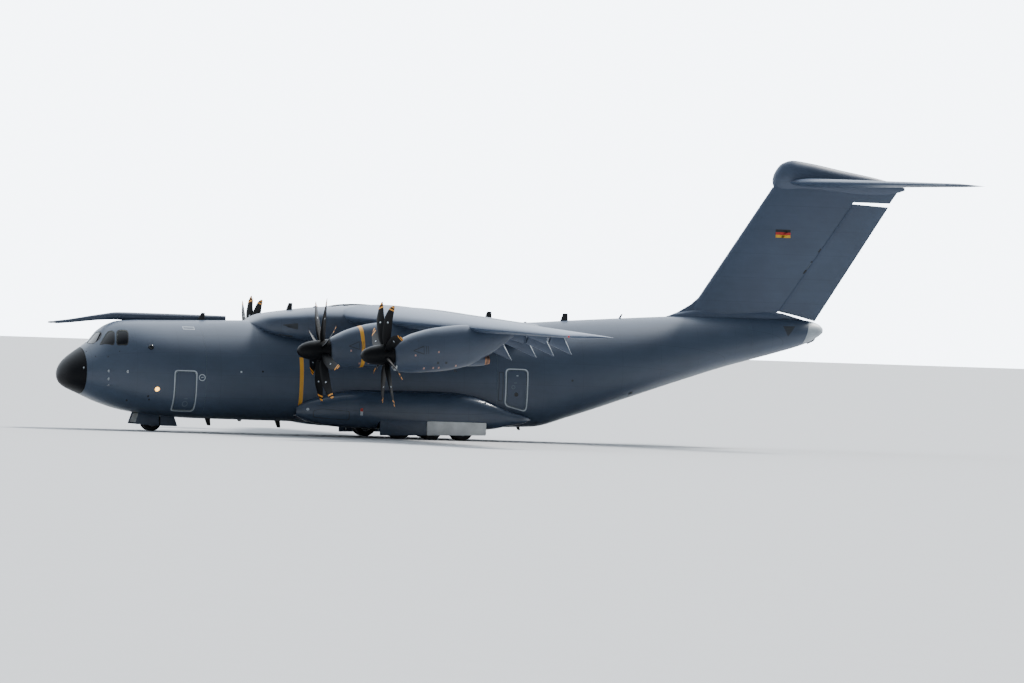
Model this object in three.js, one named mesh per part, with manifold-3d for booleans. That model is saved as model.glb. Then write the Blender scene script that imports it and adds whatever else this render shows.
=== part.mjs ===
// Four-engine military transport plane with a T tail, parked on its gear, as a 1:2 scale model.
// Every length in the tables is the real aeroplane's, in metres: x runs aft from the nose tip,
// y to the right wing, z up from the ground. at() and len() turn them into model millimetres.
import * as THREE from 'three';
import { mergeVertices } from 'three/addons/utils/BufferGeometryUtils.js';
import Module from 'manifold-3d';

const wasm = await Module();
wasm.setup();

// Scale and common clearances
const SCALE = 0.5;
const MM_PER_M = 1000 * SCALE;
const SEAT_GAP = 0.3 / MM_PER_M;      // between pieces that rest on each other
const RUN_GAP = 0.014;                // round doors and control surfaces
const PIN_SIDES = 12;

// Whole aeroplane
const PROBE_TIP_X = -0.5;
const TAIL_TIP_X = 45.2;
const ORIGIN_X = (PROBE_TIP_X + TAIL_TIP_X) / 2;

// Fuselage: hull stations, outer skin
const WALL = 0.16;
const HULL_POINTS = 24;
//          x     half   crown  waist  keel   belly fullness
const HULL = [
  [-0.04, 0.05, 2.76, 2.70, 2.64, 2.0],
  [0.10, 0.60, 3.18, 2.70, 2.26, 2.0],
  [0.35, 1.00, 3.48, 2.72, 2.06, 2.1],
  [0.70, 1.32, 3.77, 2.75, 1.90, 2.2],
  [1.10, 1.60, 4.05, 2.80, 1.74, 2.3],
  [1.50, 1.83, 4.36, 2.84, 1.57, 2.4],
  [2.00, 2.06, 4.94, 2.88, 1.37, 2.5],
  [2.40, 2.22, 5.22, 2.90, 1.24, 2.6],
  [3.00, 2.42, 5.43, 2.92, 1.07, 2.8],
  [4.00, 2.64, 5.50, 2.90, 0.89, 3.0],
  [5.20, 2.77, 5.53, 2.85, 0.77, 3.2],
  [6.90, 2.82, 5.58, 2.80, 0.69, 3.4],
  [12.60, 2.82, 5.73, 2.85, 0.68, 3.4],
  [22.00, 2.82, 5.92, 2.95, 0.68, 3.4],
  [24.40, 2.81, 6.02, 3.05, 0.75, 3.3],
  [26.30, 2.74, 6.17, 3.35, 1.27, 3.0],
  [29.40, 2.52, 6.40, 3.95, 2.31, 2.7],
  [32.20, 2.15, 6.58, 4.60, 3.26, 2.5],
  [34.80, 1.70, 6.67, 5.15, 4.10, 2.3],
  [35.90, 1.47, 6.68, 5.36, 4.41, 2.25],
  [37.40, 1.16, 6.68, 5.65, 4.83, 2.2],
  [39.20, 0.66, 6.60, 5.95, 5.40, 2.1],
  [39.90, 0.36, 6.42, 6.08, 5.78, 2.0],
  [40.12, 0.14, 6.24, 6.10, 5.96, 2.0],
];
const RADOME_END = 1.10;
const NOSE_END = 6.90;
const FORWARD_END = 12.60;
const CENTRE_END = 22.00;
const AFT_END = 35.90;
const HULL_TIP = 40.12;
const TAIL_HOLLOW_END = 39.1;
const BULKHEAD = 0.20;

// Flight deck
const BAND_LOW = 4.14;
const BAND_HIGH = 4.96;
const BAND_AFT = 3.34;
const PANE_DEPTH = 0.07;
const PANE_THICK = 0.03;
const DECK_Z = 2.95;
const DECK_THICK = 0.10;
const DECK_AFT = 4.75;

// Nose gear
const NOSE_GEAR_X = 4.84;
const NOSE_TYRE = { radius: 0.47, width: 0.29, rim: 0.24, offset: 0.25 };
const NOSE_BAY = { x0: 3.85, x1: 6.05, half: 0.58, top: 1.86, wall: 0.09 };

// Main gear
const MAIN_GEAR_X = 18.42;
const AXLE_SPACING = 1.61;
const MAIN_GEAR_Y = 3.13;
const MAIN_TYRE = { radius: 0.545, width: 0.38, rim: 0.29, offset: 0.29 };
const MAIN_BAY = { x0: 15.62, x1: 21.22, y0: 2.60, y1: 3.66, top: 1.92 };

// Wing
const WING_ROOT_Y = 2.95;             // at the fairing's side
const WING_INNER_Y = 2.30;            // its end inside the fairing
const WING_TIP_Y = 21.2;
const WING_ROOT = { le: 13.95, chord: 7.60, z: 6.02, thick: 0.150, twist: 1.5 };
const WING_TIP = { le: 20.05, chord: 2.05, z: 5.42, thick: 0.110, twist: -0.5 };
const FLAP_Y = [3.12, 15.30];
const AILERON_Y = [15.45, 20.30];
const SURFACE_CUT = 0.76;
const AILERON_SHARE = 0.78;
const FLAP_REST = 18;
const CAMBER = 0.015;
const LIP_END = 0.87;
const LIP_THICK = 0.006;

// Propulsion: hub centres; droop tips the thrust line down at the nose. The two propellers on a wing
// turn opposite ways, down between the engines
const DROOP = 4.0;
const HUBS = [
  { name: 'left_outer', x: 13.24, y: -12.60, z: 4.24, hand: -1 },
  { name: 'left_inner', x: 11.82, y: -6.23, z: 4.33, hand: 1 },
  { name: 'right_inner', x: 11.82, y: 6.23, z: 4.33, hand: -1 },
  { name: 'right_outer', x: 13.24, y: 12.60, z: 4.24, hand: 1 },
];
const PROP_RADIUS = 2.665;
const BLADES = 8;

// Tail
const TAILPLANE = { le: 37.75, z: 13.62, root: 5.20, tip: 1.95, half: 9.515, tipLe: 43.25, thick: 0.09 };
const FIN = { z0: 6.9, le0: 32.95, te0: 39.6, z1: 13.35, le1: 37.2, te1: 44.0 };
const RUDDER_CHORD = 1.95;

const at = (x, y, z) => [(x - ORIGIN_X) * MM_PER_M, y * MM_PER_M, z * MM_PER_M];
const len = (v) => v * MM_PER_M;
const rad = THREE.MathUtils.degToRad;

const COLOURS = {
  skin: [0x69737d, 0.55, 0.1],
  dark: [0x1b1d20, 0.5, 0.1],
  glass: [0x20282c, 0.1, 0.0],
  tyre: [0x1c1c1d, 0.9, 0.0],
  metal: [0x9a9ea2, 0.4, 0.8],
  white: [0xd8dadb, 0.6, 0.0],
  deck: [0x5c6064, 0.8, 0.1],
};

const plane = new THREE.Group();

// A closed manifold from shared points and triangles; turned right side out where needed
function solidFrom(points, faces) {
  let volume = 0;
  for (const [a, b, c] of faces) {
    const [p, q, r] = [points[a], points[b], points[c]];
    volume += p[0] * (q[1] * r[2] - q[2] * r[1])
      - p[1] * (q[0] * r[2] - q[2] * r[0])
      + p[2] * (q[0] * r[1] - q[1] * r[0]);
  }
  const order = volume < 0 ? faces.map(([a, b, c]) => [a, c, b]) : faces;
  const mesh = new wasm.Mesh({
    numProp: 3,
    vertProperties: new Float32Array(points.flat()),
    triVerts: new Uint32Array(order.flat()),
  });
  return new wasm.Manifold(mesh);
}

// Rings of points with the same count, joined in turn, both ends closed by a fan
function loft(rings) {
  const n = rings[0].length;
  const points = rings.flat();
  const faces = [];
  for (let k = 0; k + 1 < rings.length; k += 1) {
    for (let i = 0; i < n; i += 1) {
      const a = k * n + i;
      const b = k * n + (i + 1) % n;
      faces.push([a, b, b + n], [a, b + n, a + n]);
    }
  }
  for (const [k, flip] of [[0, true], [rings.length - 1, false]]) {
    const ring = rings[k];
    const middle = [0, 1, 2].map((j) => ring.reduce((sum, p) => sum + p[j], 0) / n);
    points.push(middle);
    const hub = points.length - 1;
    for (let i = 0; i < n; i += 1) {
      const a = k * n + i;
      const b = k * n + (i + 1) % n;
      faces.push(flip ? [hub, b, a] : [hub, a, b]);
    }
  }
  return solidFrom(points, faces);
}

function fromGeometry(geometry) {
  const bare = geometry.clone();
  bare.deleteAttribute('normal');
  bare.deleteAttribute('uv');
  const merged = mergeVertices(bare, 1e-3);
  const mesh = new wasm.Mesh({
    numProp: 3,
    vertProperties: new Float32Array(merged.attributes.position.array),
    triVerts: new Uint32Array(merged.index.array),
  });
  return new wasm.Manifold(mesh);
}

function toGeometry(solid) {
  const mesh = solid.getMesh();
  const positions = [];
  for (let i = 0; i < mesh.vertProperties.length; i += mesh.numProp) {
    positions.push(mesh.vertProperties[i], mesh.vertProperties[i + 1], mesh.vertProperties[i + 2]);
  }
  const geometry = new THREE.BufferGeometry();
  geometry.setAttribute('position', new THREE.Float32BufferAttribute(positions, 3));
  geometry.setIndex(Array.from(mesh.triVerts));
  geometry.computeVertexNormals();
  return geometry;
}

const join = (solids) => solids.reduce((a, b) => a.add(b));
const cutAll = (solid, tools) => tools.reduce((a, b) => a.subtract(b), solid);

// A box between two corners given as real metres
function box(x0, x1, y0, y1, z0, z1) {
  const geometry = new THREE.BoxGeometry(len(x1 - x0), len(y1 - y0), len(z1 - z0));
  const [x, y, z] = at((x0 + x1) / 2, (y0 + y1) / 2, (z0 + z1) / 2);
  return fromGeometry(geometry.translate(x, y, z));
}

// A round bar between two places
function bar(from, to, radius, endRadius = radius, sides = 8, roll = 0) {
  const a = new THREE.Vector3(...at(...from));
  const b = new THREE.Vector3(...at(...to));
  const geometry = new THREE.CylinderGeometry(len(endRadius), len(radius), a.distanceTo(b), sides);
  geometry.rotateY(roll);
  const turn = new THREE.Quaternion().setFromUnitVectors(
    new THREE.Vector3(0, 1, 0), b.clone().sub(a).normalize());
  geometry.applyQuaternion(turn);
  const middle = a.clone().add(b).multiplyScalar(0.5);
  return fromGeometry(geometry.translate(middle.x, middle.y, middle.z));
}

// The bore for an axle: its flats stand a seat gap off the axle's corners, so the axle turns freely
function bore(x, y, z, radius) {
  const size = (radius + SEAT_GAP) / Math.cos(Math.PI / PIN_SIDES);
  return bar([x, y - 0.2, z], [x, y + 0.2, z], size, size, PIN_SIDES, Math.PI / PIN_SIDES);
}

// A straight prism: an outline in one plane, from one level to another on the third axis
function prism(outline, axis, low, high) {
  const turn = { x: (u, v, w) => at(w, u, v), y: (u, v, w) => at(u, w, v), z: (u, v, w) => at(u, v, w) };
  return loft([low, high].map((w) => outline.map(([u, v]) => turn[axis](u, v, w))));
}

function add(name, solid, colour, parent = plane) {
  const [color, roughness, metalness] = COLOURS[colour];
  const material = new THREE.MeshStandardMaterial({ color, roughness, metalness });
  const geometry = solid.isBufferGeometry ? solid : toGeometry(solid);
  const mesh = new THREE.Mesh(geometry, material);
  mesh.name = name;
  parent.add(mesh);
  return mesh;
}

const lerp = (a, b, t) => a.map((v, i) => v + (b[i] - v) * t);

// A hinge line with its radius at each end, and knuckles at shares of its length.
// Each knuckle is a disc round the line, on an arm that reaches into the fixed piece.
function hingeKnuckles({ from, to, radii, shares, arm, width = 0.12 }, grow) {
  const length = Math.hypot(...from.map((v, i) => to[i] - v));
  const along = from.map((v, i) => (to[i] - v) / length);
  const slip = arm.reduce((sum, v, i) => sum + v * along[i], 0);
  const reach = arm.map((v, i) => v - slip * along[i]);
  return join(shares.map((t) => {
    const radius = radii[0] + (radii[1] - radii[0]) * t + grow;
    const half = (width / 2 + (grow && SEAT_GAP)) / length;
    const disc = bar(lerp(from, to, t - half), lerp(from, to, t + half), radius, radius, PIN_SIDES,
      grow ? Math.PI / PIN_SIDES : 0);
    if (grow) return disc;
    const middle = lerp(from, to, t);
    return disc.add(bar(middle, middle.map((v, i) => v + reach[i]), Math.min(radius * 0.7, width * 0.45),
      undefined, 4));
  }));
}

const fixedWith = (solid, hinge) => solid.add(hingeKnuckles(hinge, 0));

function movingWith(solid, hinge) {
  const corner = 1 / Math.cos(Math.PI / PIN_SIDES) - 1;
  const radius = Math.max(...hinge.radii);
  return solid.subtract(hingeKnuckles(hinge, SEAT_GAP + radius * corner));
}

// Hull sections
function rowRing([x, half, crown, waist, keel, fullness], inset) {
  const ring = [];
  for (let i = 0; i < HULL_POINTS; i += 1) {
    const angle = (2 * Math.PI * i) / HULL_POINTS;
    const [s, c] = [Math.sin(angle), Math.cos(angle)];
    if (c >= 0) {
      ring.push(at(x, (half - inset) * s, waist + (crown - inset - waist) * c));
    } else {
      const power = 2 / fullness;
      const y = Math.sign(s) * Math.abs(s) ** power;
      const z = Math.abs(c) ** power;
      ring.push(at(x, (half - inset) * y, waist - (waist - keel - inset) * z));
    }
  }
  return ring;
}

// Between two stations the skin is straight, so cut pieces and their tools share one surface
function hullRing(x, inset) {
  const next = Math.max(1, HULL.findIndex((row) => row[0] >= x));
  const [a, b] = [HULL[next - 1], HULL[next]];
  const t = (x - a[0]) / (b[0] - a[0]);
  const [ra, rb] = [rowRing(a, inset), rowRing(b, inset)];
  return ra.map((p, i) => p.map((v, j) => v + (rb[i][j] - v) * t));
}

function hull(x0, x1, inset) {
  const inside = HULL.map((row) => row[0]).filter((x) => x > x0 + 0.01 && x < x1 - 0.01);
  return loft([x0, ...inside, x1].map((x) => hullRing(x, inset)));
}

function hullShell(x0, x1) {
  return hull(x0, x1, 0).subtract(hull(x0 - 0.05, x1 + 0.05, WALL));
}

// Cockpit panes in plan view: each between two rays from the post centre, with its own sill
const PANES = [
  // ray start (x, y), ray end (x, y), sill, brow
  { name: 'front', from: [0.9, 0.05], to: [1.05, 1.42], sill: 4.36, brow: 4.84 },
  { name: 'quarter', from: [1.10, 1.50], to: [2.55, 2.60], sill: 4.26, brow: 4.88 },
  { name: 'side', from: [2.63, 2.60], to: [3.22, 2.60], sill: 4.26, brow: 4.88 },
];

function paneOutline(pane) {
  const inner = pane.name === 'side' ? [[3.22, 0.6], [2.63, 0.6]]
    : pane.name === 'quarter' ? [[2.55, 0.55], [2.35, 0.55]]
      : [[2.30, 0.45], [2.60, 0.05]];
  return [pane.from, pane.to, ...inner];
}

function mirrorOutline(outline, side) {
  return side > 0 ? outline : outline.map(([x, y]) => [x, -y]);
}

const CREW_DOOR = { x0: 5.34, x1: 6.36, z0: 1.10, z1: 3.02, hingeY: 2.265 };
const PARA_DOOR = { x0: 22.50, x1: 23.52, front: 1.87, back: 1.60, z1: 3.60 };
const RAMP = { x0: 24.40, x1: 29.40, half: 2.00, sill: 1.20, tip: 2.66 };
// The ramp's end and the upper door's front lean forward alike, so the door swings up past the ramp
const END_LEAN = 0.5;
const leanAt = (x, z) => [x - END_LEAN * (z - keelAt(RAMP.x1)), z];
const UPPER_DOOR = { x1: 35.20, front: 1.90, back: 0.60, depth: 0.30 };
const keelAt = (x) => {
  const next = HULL.findIndex((row) => row[0] >= x);
  const [a, b] = [HULL[next - 1], HULL[next]];
  return a[4] + (b[4] - a[4]) * (x - a[0]) / (b[0] - a[0]);
};
const RAMP_HINGE = {
  from: [RAMP.x0 + RUN_GAP / 2, -0.8, 0.75],
  to: [RAMP.x0 + RUN_GAP / 2, 0.8, 0.75],
  radii: [0.035, 0.035], shares: [0.25, 0.75], arm: [-0.12, 0, 0.07],
};
const UPPER_HINGE = {
  from: [UPPER_DOOR.x1 - RUN_GAP / 2, -0.5, keelAt(UPPER_DOOR.x1) + 0.28],
  to: [UPPER_DOOR.x1 - RUN_GAP / 2, 0.5, keelAt(UPPER_DOOR.x1) + 0.28],
  radii: [0.05, 0.05], shares: [0.25, 0.75], arm: [0.2, 0, -0.12],
};

function noseSection() {
  const x0 = RADOME_END + SEAT_GAP;
  const shell = hull(x0, NOSE_END, 0).subtract(hull(RADOME_END + BULKHEAD, NOSE_END + 0.05, WALL));
  const bay = NOSE_BAY;
  const bayOuter = box(bay.x0 - bay.wall, bay.x1 + bay.wall, -bay.half - bay.wall, bay.half + bay.wall,
    0.3, bay.top + bay.wall).intersect(hull(x0, NOSE_END, 0.02));
  const bayInner = box(bay.x0, bay.x1, -bay.half, bay.half, 0.2, bay.top);
  const tools = [bayInner];
  for (const side of [1, -1]) {
    for (const pane of PANES) {
      tools.push(prism(mirrorOutline(paneOutline(pane), side), 'z', pane.sill, pane.brow));
    }
  }
  const band = box(RADOME_END + BULKHEAD, BAND_AFT + SEAT_GAP, -2.6, 2.6,
    BAND_LOW - SEAT_GAP, BAND_HIGH + SEAT_GAP);
  tools.push(hull(RADOME_END + BULKHEAD, NOSE_END, PANE_DEPTH - SEAT_GAP).intersect(band));
  tools.push(box(CREW_DOOR.x0, CREW_DOOR.x1, -3.2, -1.4, CREW_DOOR.z0, CREW_DOOR.z1));
  return fixedWith(cutAll(shell.add(bayOuter), tools), CREW_HINGE);
}

function glazing() {
  const x0 = RADOME_END + BULKHEAD;
  const band = box(x0 + SEAT_GAP, BAND_AFT, -2.6, 2.6, BAND_LOW, BAND_HIGH);
  return hull(x0, NOSE_END, PANE_DEPTH).subtract(hull(x0 - 0.05, NOSE_END + 0.05, PANE_DEPTH + PANE_THICK))
    .intersect(band);
}

const CREW_HINGE = {
  from: [CREW_DOOR.x0, -CREW_DOOR.hingeY, CREW_DOOR.z0],
  to: [CREW_DOOR.x1, -CREW_DOOR.hingeY, CREW_DOOR.z0],
  radii: [0.022, 0.022], shares: [0.2, 0.8], arm: [0, 0.36, -0.09],
};

function crewDoor() {
  const d = CREW_DOOR;
  const panel = hullShell(4.0, NOSE_END).intersect(box(d.x0 + RUN_GAP, d.x1 - RUN_GAP, -3.2, -1.4,
    d.z0 + RUN_GAP, d.z1 - RUN_GAP));
  return movingWith(panel, CREW_HINGE);
}

// Flight deck: floor, rear wall, console and two seats that stand on the floor
function flightDeck() {
  const inside = hull(RADOME_END + BULKHEAD + 0.01, NOSE_END, WALL + SEAT_GAP);
  const floor = box(1.4, DECK_AFT, -2.8, 2.8, DECK_Z - DECK_THICK, DECK_Z).intersect(inside);
  const wall = box(DECK_AFT - 0.1, DECK_AFT, -2.8, 2.8, DECK_Z - DECK_THICK, 5.6).intersect(inside);
  const console = prism([[1.75, DECK_Z - 0.05], [2.15, DECK_Z - 0.05], [2.35, 3.95], [2.10, 4.02], [1.75, 3.75]],
    'y', -1.15, 1.15);
  const pedestal = box(2.1, 3.2, -0.25, 0.25, DECK_Z - 0.05, 3.55);
  const pieces = [floor, wall, console, pedestal];
  for (const y of [-0.62, 0.62]) {
    pieces.push(box(2.75, 3.25, y - 0.27, y + 0.27, DECK_Z - 0.05, 3.42));
    pieces.push(prism([[3.15, 3.3], [3.32, 3.3], [3.50, 4.30], [3.36, 4.30]], 'y', y - 0.26, y + 0.26));
    pieces.push(box(3.38, 3.50, y - 0.14, y + 0.14, 4.28, 4.50));
  }
  return join(pieces);
}

function paraDoorOutline(gap) {
  const d = PARA_DOOR;
  return [[d.x0 + gap, d.front + gap], [d.x1 - gap, d.back + gap], [d.x1 - gap, d.z1 - gap],
    [d.x0 + gap, d.z1 - gap]];
}

// Plan outline of the upper rear door, and the region that ramp and door take out of the hull
function upperDoorOutline(gap) {
  const d = UPPER_DOOR;
  return [[RAMP.x1 - 0.4, -d.front + gap], [d.x1 - gap, -d.back + gap], [d.x1 - gap, d.back - gap],
    [RAMP.x1 - 0.4, d.front - gap]];
}

function aftFuselage() {
  const x0 = CENTRE_END + SEAT_GAP;
  const shell = hull(x0, AFT_END, 0).subtract(hull(x0 - 0.05, UPPER_DOOR.x1 + 0.5, WALL));
  const tools = [];
  for (const side of [1, -1]) {
    const [low, high] = side > 0 ? [1.8, 3.2] : [-3.2, -1.8];
    tools.push(prism(paraDoorOutline(0), 'y', low, high));
  }
  const rampSide = [[RAMP.x0, 0.2], [RAMP.x1 + 0.01, 0.2], [RAMP.x1 + 0.01, RAMP.tip + 0.5],
    [RAMP.x0, RAMP.sill + 0.4]];
  tools.push(prism(rampSide, 'y', -RAMP.half, RAMP.half));
  const slab = prism([[RAMP.x1 - 0.01, 1.0], [UPPER_DOOR.x1 + 0.01, 1.0],
    [UPPER_DOOR.x1 + 0.01, keelAt(UPPER_DOOR.x1) + 0.75], [RAMP.x1 - 0.01, RAMP.tip + 0.45]], 'y', -2.6, 2.6);
  tools.push(slab.intersect(prism(upperDoorOutline(0), 'z', 0.5, 6)));
  return [RAMP_HINGE, UPPER_HINGE].reduce(fixedWith, cutAll(shell, tools));
}

function tailCone() {
  return hull(AFT_END + SEAT_GAP, HULL_TIP, 0).subtract(hull(AFT_END - 0.05, TAIL_HOLLOW_END, WALL));
}

function ramp() {
  const r = RAMP;
  const side = [[r.x0 + RUN_GAP, 0.2], leanAt(r.x1 - RUN_GAP, 2.0), leanAt(r.x1 - RUN_GAP, r.tip),
    [r.x0 + RUN_GAP, r.sill]];
  const panel = hull(r.x0, r.x1, 0).intersect(prism(side, 'y', -r.half + RUN_GAP, r.half - RUN_GAP));
  return movingWith(panel, RAMP_HINGE);
}

function upperDoor() {
  const d = UPPER_DOOR;
  const front = keelAt(RAMP.x1) + d.depth;
  const back = keelAt(d.x1) + d.depth;
  const side = [leanAt(RAMP.x1 + RUN_GAP, 2.0), [d.x1, 1.0], [d.x1, back], leanAt(RAMP.x1 + RUN_GAP, front)];
  const panel = hull(RAMP.x1 - 0.5, AFT_END, 0)
    .intersect(prism(side, 'y', -2.6, 2.6))
    .intersect(prism(upperDoorOutline(RUN_GAP), 'z', 0.5, 6));
  return movingWith(panel, UPPER_HINGE);
}

function paraDoor(side) {
  const [low, high] = side > 0 ? [1.8, 3.2] : [-3.2, -1.8];
  return hullShell(CENTRE_END, RAMP.x0)
    .intersect(prism(paraDoorOutline(SEAT_GAP * 2), 'y', low, high));
}

// Load floor: a deck across the hold, from the flight deck's steps to the ramp sill
function holdFloor() {
  return box(CREW_DOOR.x1 + 0.08, RAMP.x0 - RUN_GAP, -2.3, 2.3, RAMP.sill - 0.10, RAMP.sill)
    .intersect(hull(5.2, RAMP.x0, WALL + SEAT_GAP));
}

// Fairing over the wing's centre box, on the hull's roof
const FAIRING = [
  // x, half width, crown, foot
  [9.6, 0.9, 5.60, 5.2],
  [10.3, 1.9, 5.98, 4.9],
  [11.8, 2.55, 6.24, 4.6],
  [13.4, 2.93, 6.44, 4.5],
  [16.4, 2.93, 6.62, 4.5],
  [18.6, 2.93, 6.56, 4.5],
  [21.4, 2.93, 6.28, 4.6],
  [23.4, 2.3, 6.06, 4.9],
  [24.6, 1.2, 5.95, 5.3],
];

function fairingRing([x, half, crown, foot]) {
  const ring = [];
  const n = 16;
  for (let i = 0; i < n; i += 1) {
    const angle = (2 * Math.PI * i) / n;
    const [s, c] = [Math.sin(angle), Math.cos(angle)];
    const [y, z] = [Math.sign(s) * Math.abs(s) ** 0.6, Math.sign(c) * Math.abs(c) ** 0.6];
    const middle = (crown + foot) / 2;
    ring.push(at(x, half * y, middle + (crown - foot) / 2 * z));
  }
  return ring;
}

function wingFairing() {
  return loft(FAIRING.map(fairingRing)).subtract(hull(NOSE_END, 26.3, -SEAT_GAP))
    .subtract(wingTool(-1)).subtract(wingTool(1));
}

// Lifting surfaces: a four-digit thickness form, closed at a thin trailing edge
const CHORD_STEPS = [0, 0.012, 0.05, 0.13, 0.28, 0.46, 0.64, 0.82, 1];

function thickness(t, thick) {
  return 5 * thick * (0.2969 * Math.sqrt(t) - 0.126 * t - 0.3516 * t ** 2
    + 0.2843 * t ** 3 - 0.1015 * t ** 4);
}

function foil(le, chord, thick, twist, camber = 0.015, steps = CHORD_STEPS, grow = 0) {
  const points = [];
  const bow = (t) => camber * 4 * t * (1 - t);
  const side = (t, sign) => [t < 1 ? t : 1 + grow / chord, sign * (thickness(t, thick) + grow / chord) + bow(t)];
  const upper = steps.slice(1).map((t) => side(t, 1));
  const lower = steps.slice(1).reverse().map((t) => side(t, -1));
  const [s, c] = [Math.sin(rad(twist)), Math.cos(rad(twist))];
  for (const [t, h] of [[-grow / chord, 0], ...upper, ...lower]) {
    points.push([le + chord * (t * c + h * s), chord * (h * c - t * s)]);
  }
  return points;
}

function wingAt(y) {
  const t = (Math.abs(y) - WING_ROOT_Y) / (WING_TIP_Y - WING_ROOT_Y);
  const mix = (key) => WING_ROOT[key] + (WING_TIP[key] - WING_ROOT[key]) * t;
  return { le: mix('le'), chord: mix('chord'), z: mix('z'), thick: mix('thick'), twist: mix('twist') };
}

function wingRing(y, side, grow = 0) {
  const w = wingAt(y);
  return foil(w.le, w.chord, w.thick, w.twist, CAMBER, CHORD_STEPS, grow)
    .map(([x, h]) => at(x, side * y, w.z + h));
}

// The point on the chord line at a share of the chord
function chordPoint(y, share) {
  const w = wingAt(y);
  return [w.le + share * w.chord, w.z - share * w.chord * Math.sin(rad(w.twist))];
}

// The cove that a flap lies in: open below and aft, under a lip of upper skin
function coveRing(y, side) {
  const { chord, thick } = wingAt(y);
  const upper = (t) => thickness(t, thick) + CAMBER * 4 * t * (1 - t) - LIP_THICK;
  const outline = [[SURFACE_CUT, -0.3], [SURFACE_CUT, upper(SURFACE_CUT)], [LIP_END, upper(LIP_END)],
    [LIP_END, 0.3], [1.3, 0.3], [1.3, -0.3]];
  return outline.map(([share, h]) => {
    const [x, z] = chordPoint(y, share);
    return at(x, side * y, z + h * chord);
  });
}

function wing(side) {
  const ys = [WING_INNER_Y, 9, 15, 20.4, WING_TIP_Y - 0.25];
  const rings = ys.map((y) => wingRing(y, side));
  const tip = wingAt(WING_TIP_Y);
  rings.push(foil(tip.le + 0.45, tip.chord - 0.5, 0.06, tip.twist)
    .map(([x, h]) => at(x, side * WING_TIP_Y, tip.z + h)));
  const cove = loft([WING_ROOT_Y - 0.02, FLAP_Y[1] + RUN_GAP].map((y) => coveRing(y, side)));
  const body = cutAll(loft(rings), [cove, hingeTool(aileronHinge(side), 'z', [3, 8], RUN_GAP, 0.03)]);
  const tracks = FLAP_TRACKS.map((y) => trackFairing(y, side, false));
  return [aileronHinge(side), flapHingeLine(side)].reduce(fixedWith, join([body, ...tracks]));
}

// What a hinged surface takes out of the piece that carries it: a round cove about the hinge line
// and everything behind it, with a running gap all round. A swept surface creeps along its hinge
// line as it turns, so its ends get more room. Slopes are those of its lower and upper end edges
// and of the upper edge of the cut that it turns in.
function hingeTool({ from, to, radii, back, slopes }, axis, [low, high], gap = 0, room = 0) {
  const length = Math.hypot(...from.map((v, i) => to[i] - v));
  const [a, b] = [lerp(from, to, -room / length), lerp(from, to, 1 + room / length)];
  const [ra, rb] = radii.map((r) => (gap ? (r + gap) / Math.cos(Math.PI / PIN_SIDES) : r));
  const nose = bar(a, b, ra, rb, PIN_SIDES);
  const second = axis === 'z' ? 1 : 2;
  const [p, q] = [a, b].map((v) => [v[0], v[second]]);
  const outline = [p, q, [q[0] + back, q[1] + slopes[gap ? 2 : 1] * back], [p[0] + back, p[1] + slopes[0] * back]];
  return nose.add(prism(outline, axis, low, high));
}

function hingedSurface(solid, hinge, axis, span) {
  return movingWith(solid.intersect(hingeTool(hinge, axis, span)), hinge);
}

// The wing's outer form a seat gap larger, for cutting what is fitted against it
function wingTool(side) {
  return loft([WING_INNER_Y - SEAT_GAP, 9, 15, 20.4].map((y) => wingRing(y, side, SEAT_GAP * 1.5)));
}

// Streamlined fairings under the flap hinges: the front stays on the wing, the tail on the flap
const FLAP_TRACKS = [4.6, 8.6, 11.4, 14.2];
const TRACK_HALF = 0.11;

function trackFairing(y, side, tail) {
  const drop = hingeDrop(y);
  const place = (share, below) => {
    const [x, z] = chordPoint(y, share);
    return [x, z - below];
  };
  const outline = tail
    ? [place(0.785, 0), place(0.94, 0), place(1.10, drop + 0.16), place(0.785, drop + 0.05)]
    : [place(0.52, 0.1), place(0.745, 0.02), place(0.755, drop - 0.02), place(0.755, drop + 0.06),
      place(0.70, drop + 0.04)];
  const [low, high] = [side * y - TRACK_HALF, side * y + TRACK_HALF].sort((a, b) => a - b);
  return prism(outline, 'y', low, high);
}

// Flap: its own section, turned down about the hinge line below the wing
const FLAP_NOSE = 0.785;

function hingeDrop(y) {
  return 0.11 * wingAt(y).chord + 0.1;
}

function flapHinge(y, side) {
  const [x, z] = chordPoint(y, FLAP_NOSE + 0.005);
  return [x, side * y, z - hingeDrop(y)];
}

function flapHingeLine(side) {
  const [y0, y1] = FLAP_Y;
  return { from: flapHinge(y0, side), to: flapHinge(y1, side), radii: [0.075, 0.06], arm: [-0.3, 0, 0],
    shares: FLAP_TRACKS.map((y) => (y - y0) / (y1 - y0)) };
}

function turnedAbout(solid, from, to, degrees) {
  const a = new THREE.Vector3(...at(...from));
  const axis = new THREE.Vector3(...at(...to)).sub(a).normalize();
  const turn = new THREE.Matrix4().makeTranslation(a.x, a.y, a.z)
    .multiply(new THREE.Matrix4().makeRotationAxis(axis, rad(degrees)))
    .multiply(new THREE.Matrix4().makeTranslation(-a.x, -a.y, -a.z));
  return fromGeometry(toGeometry(solid).applyMatrix4(turn));
}

function surfaceRing(y, side, nose, thick) {
  const w = wingAt(y);
  const [x, z] = chordPoint(y, nose);
  const chord = (1 - nose) * w.chord;
  return foil(x, chord, thick, w.twist + 1.5, 0.0, [0, 0.03, 0.14, 0.34, 0.66, 1])
    .map(([px, h]) => at(px, side * y, z + h + 0.001 * w.chord));
}

function flap(side) {
  const rings = FLAP_Y.map((y) => surfaceRing(y, side, FLAP_NOSE, 0.165));
  const tails = FLAP_TRACKS.map((y) => trackFairing(y, side, true));
  const line = flapHingeLine(side);
  const body = movingWith(join([loft(rings), ...tails]), line);
  return turnedAbout(body, line.from, line.to, side * FLAP_REST);
}

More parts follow.
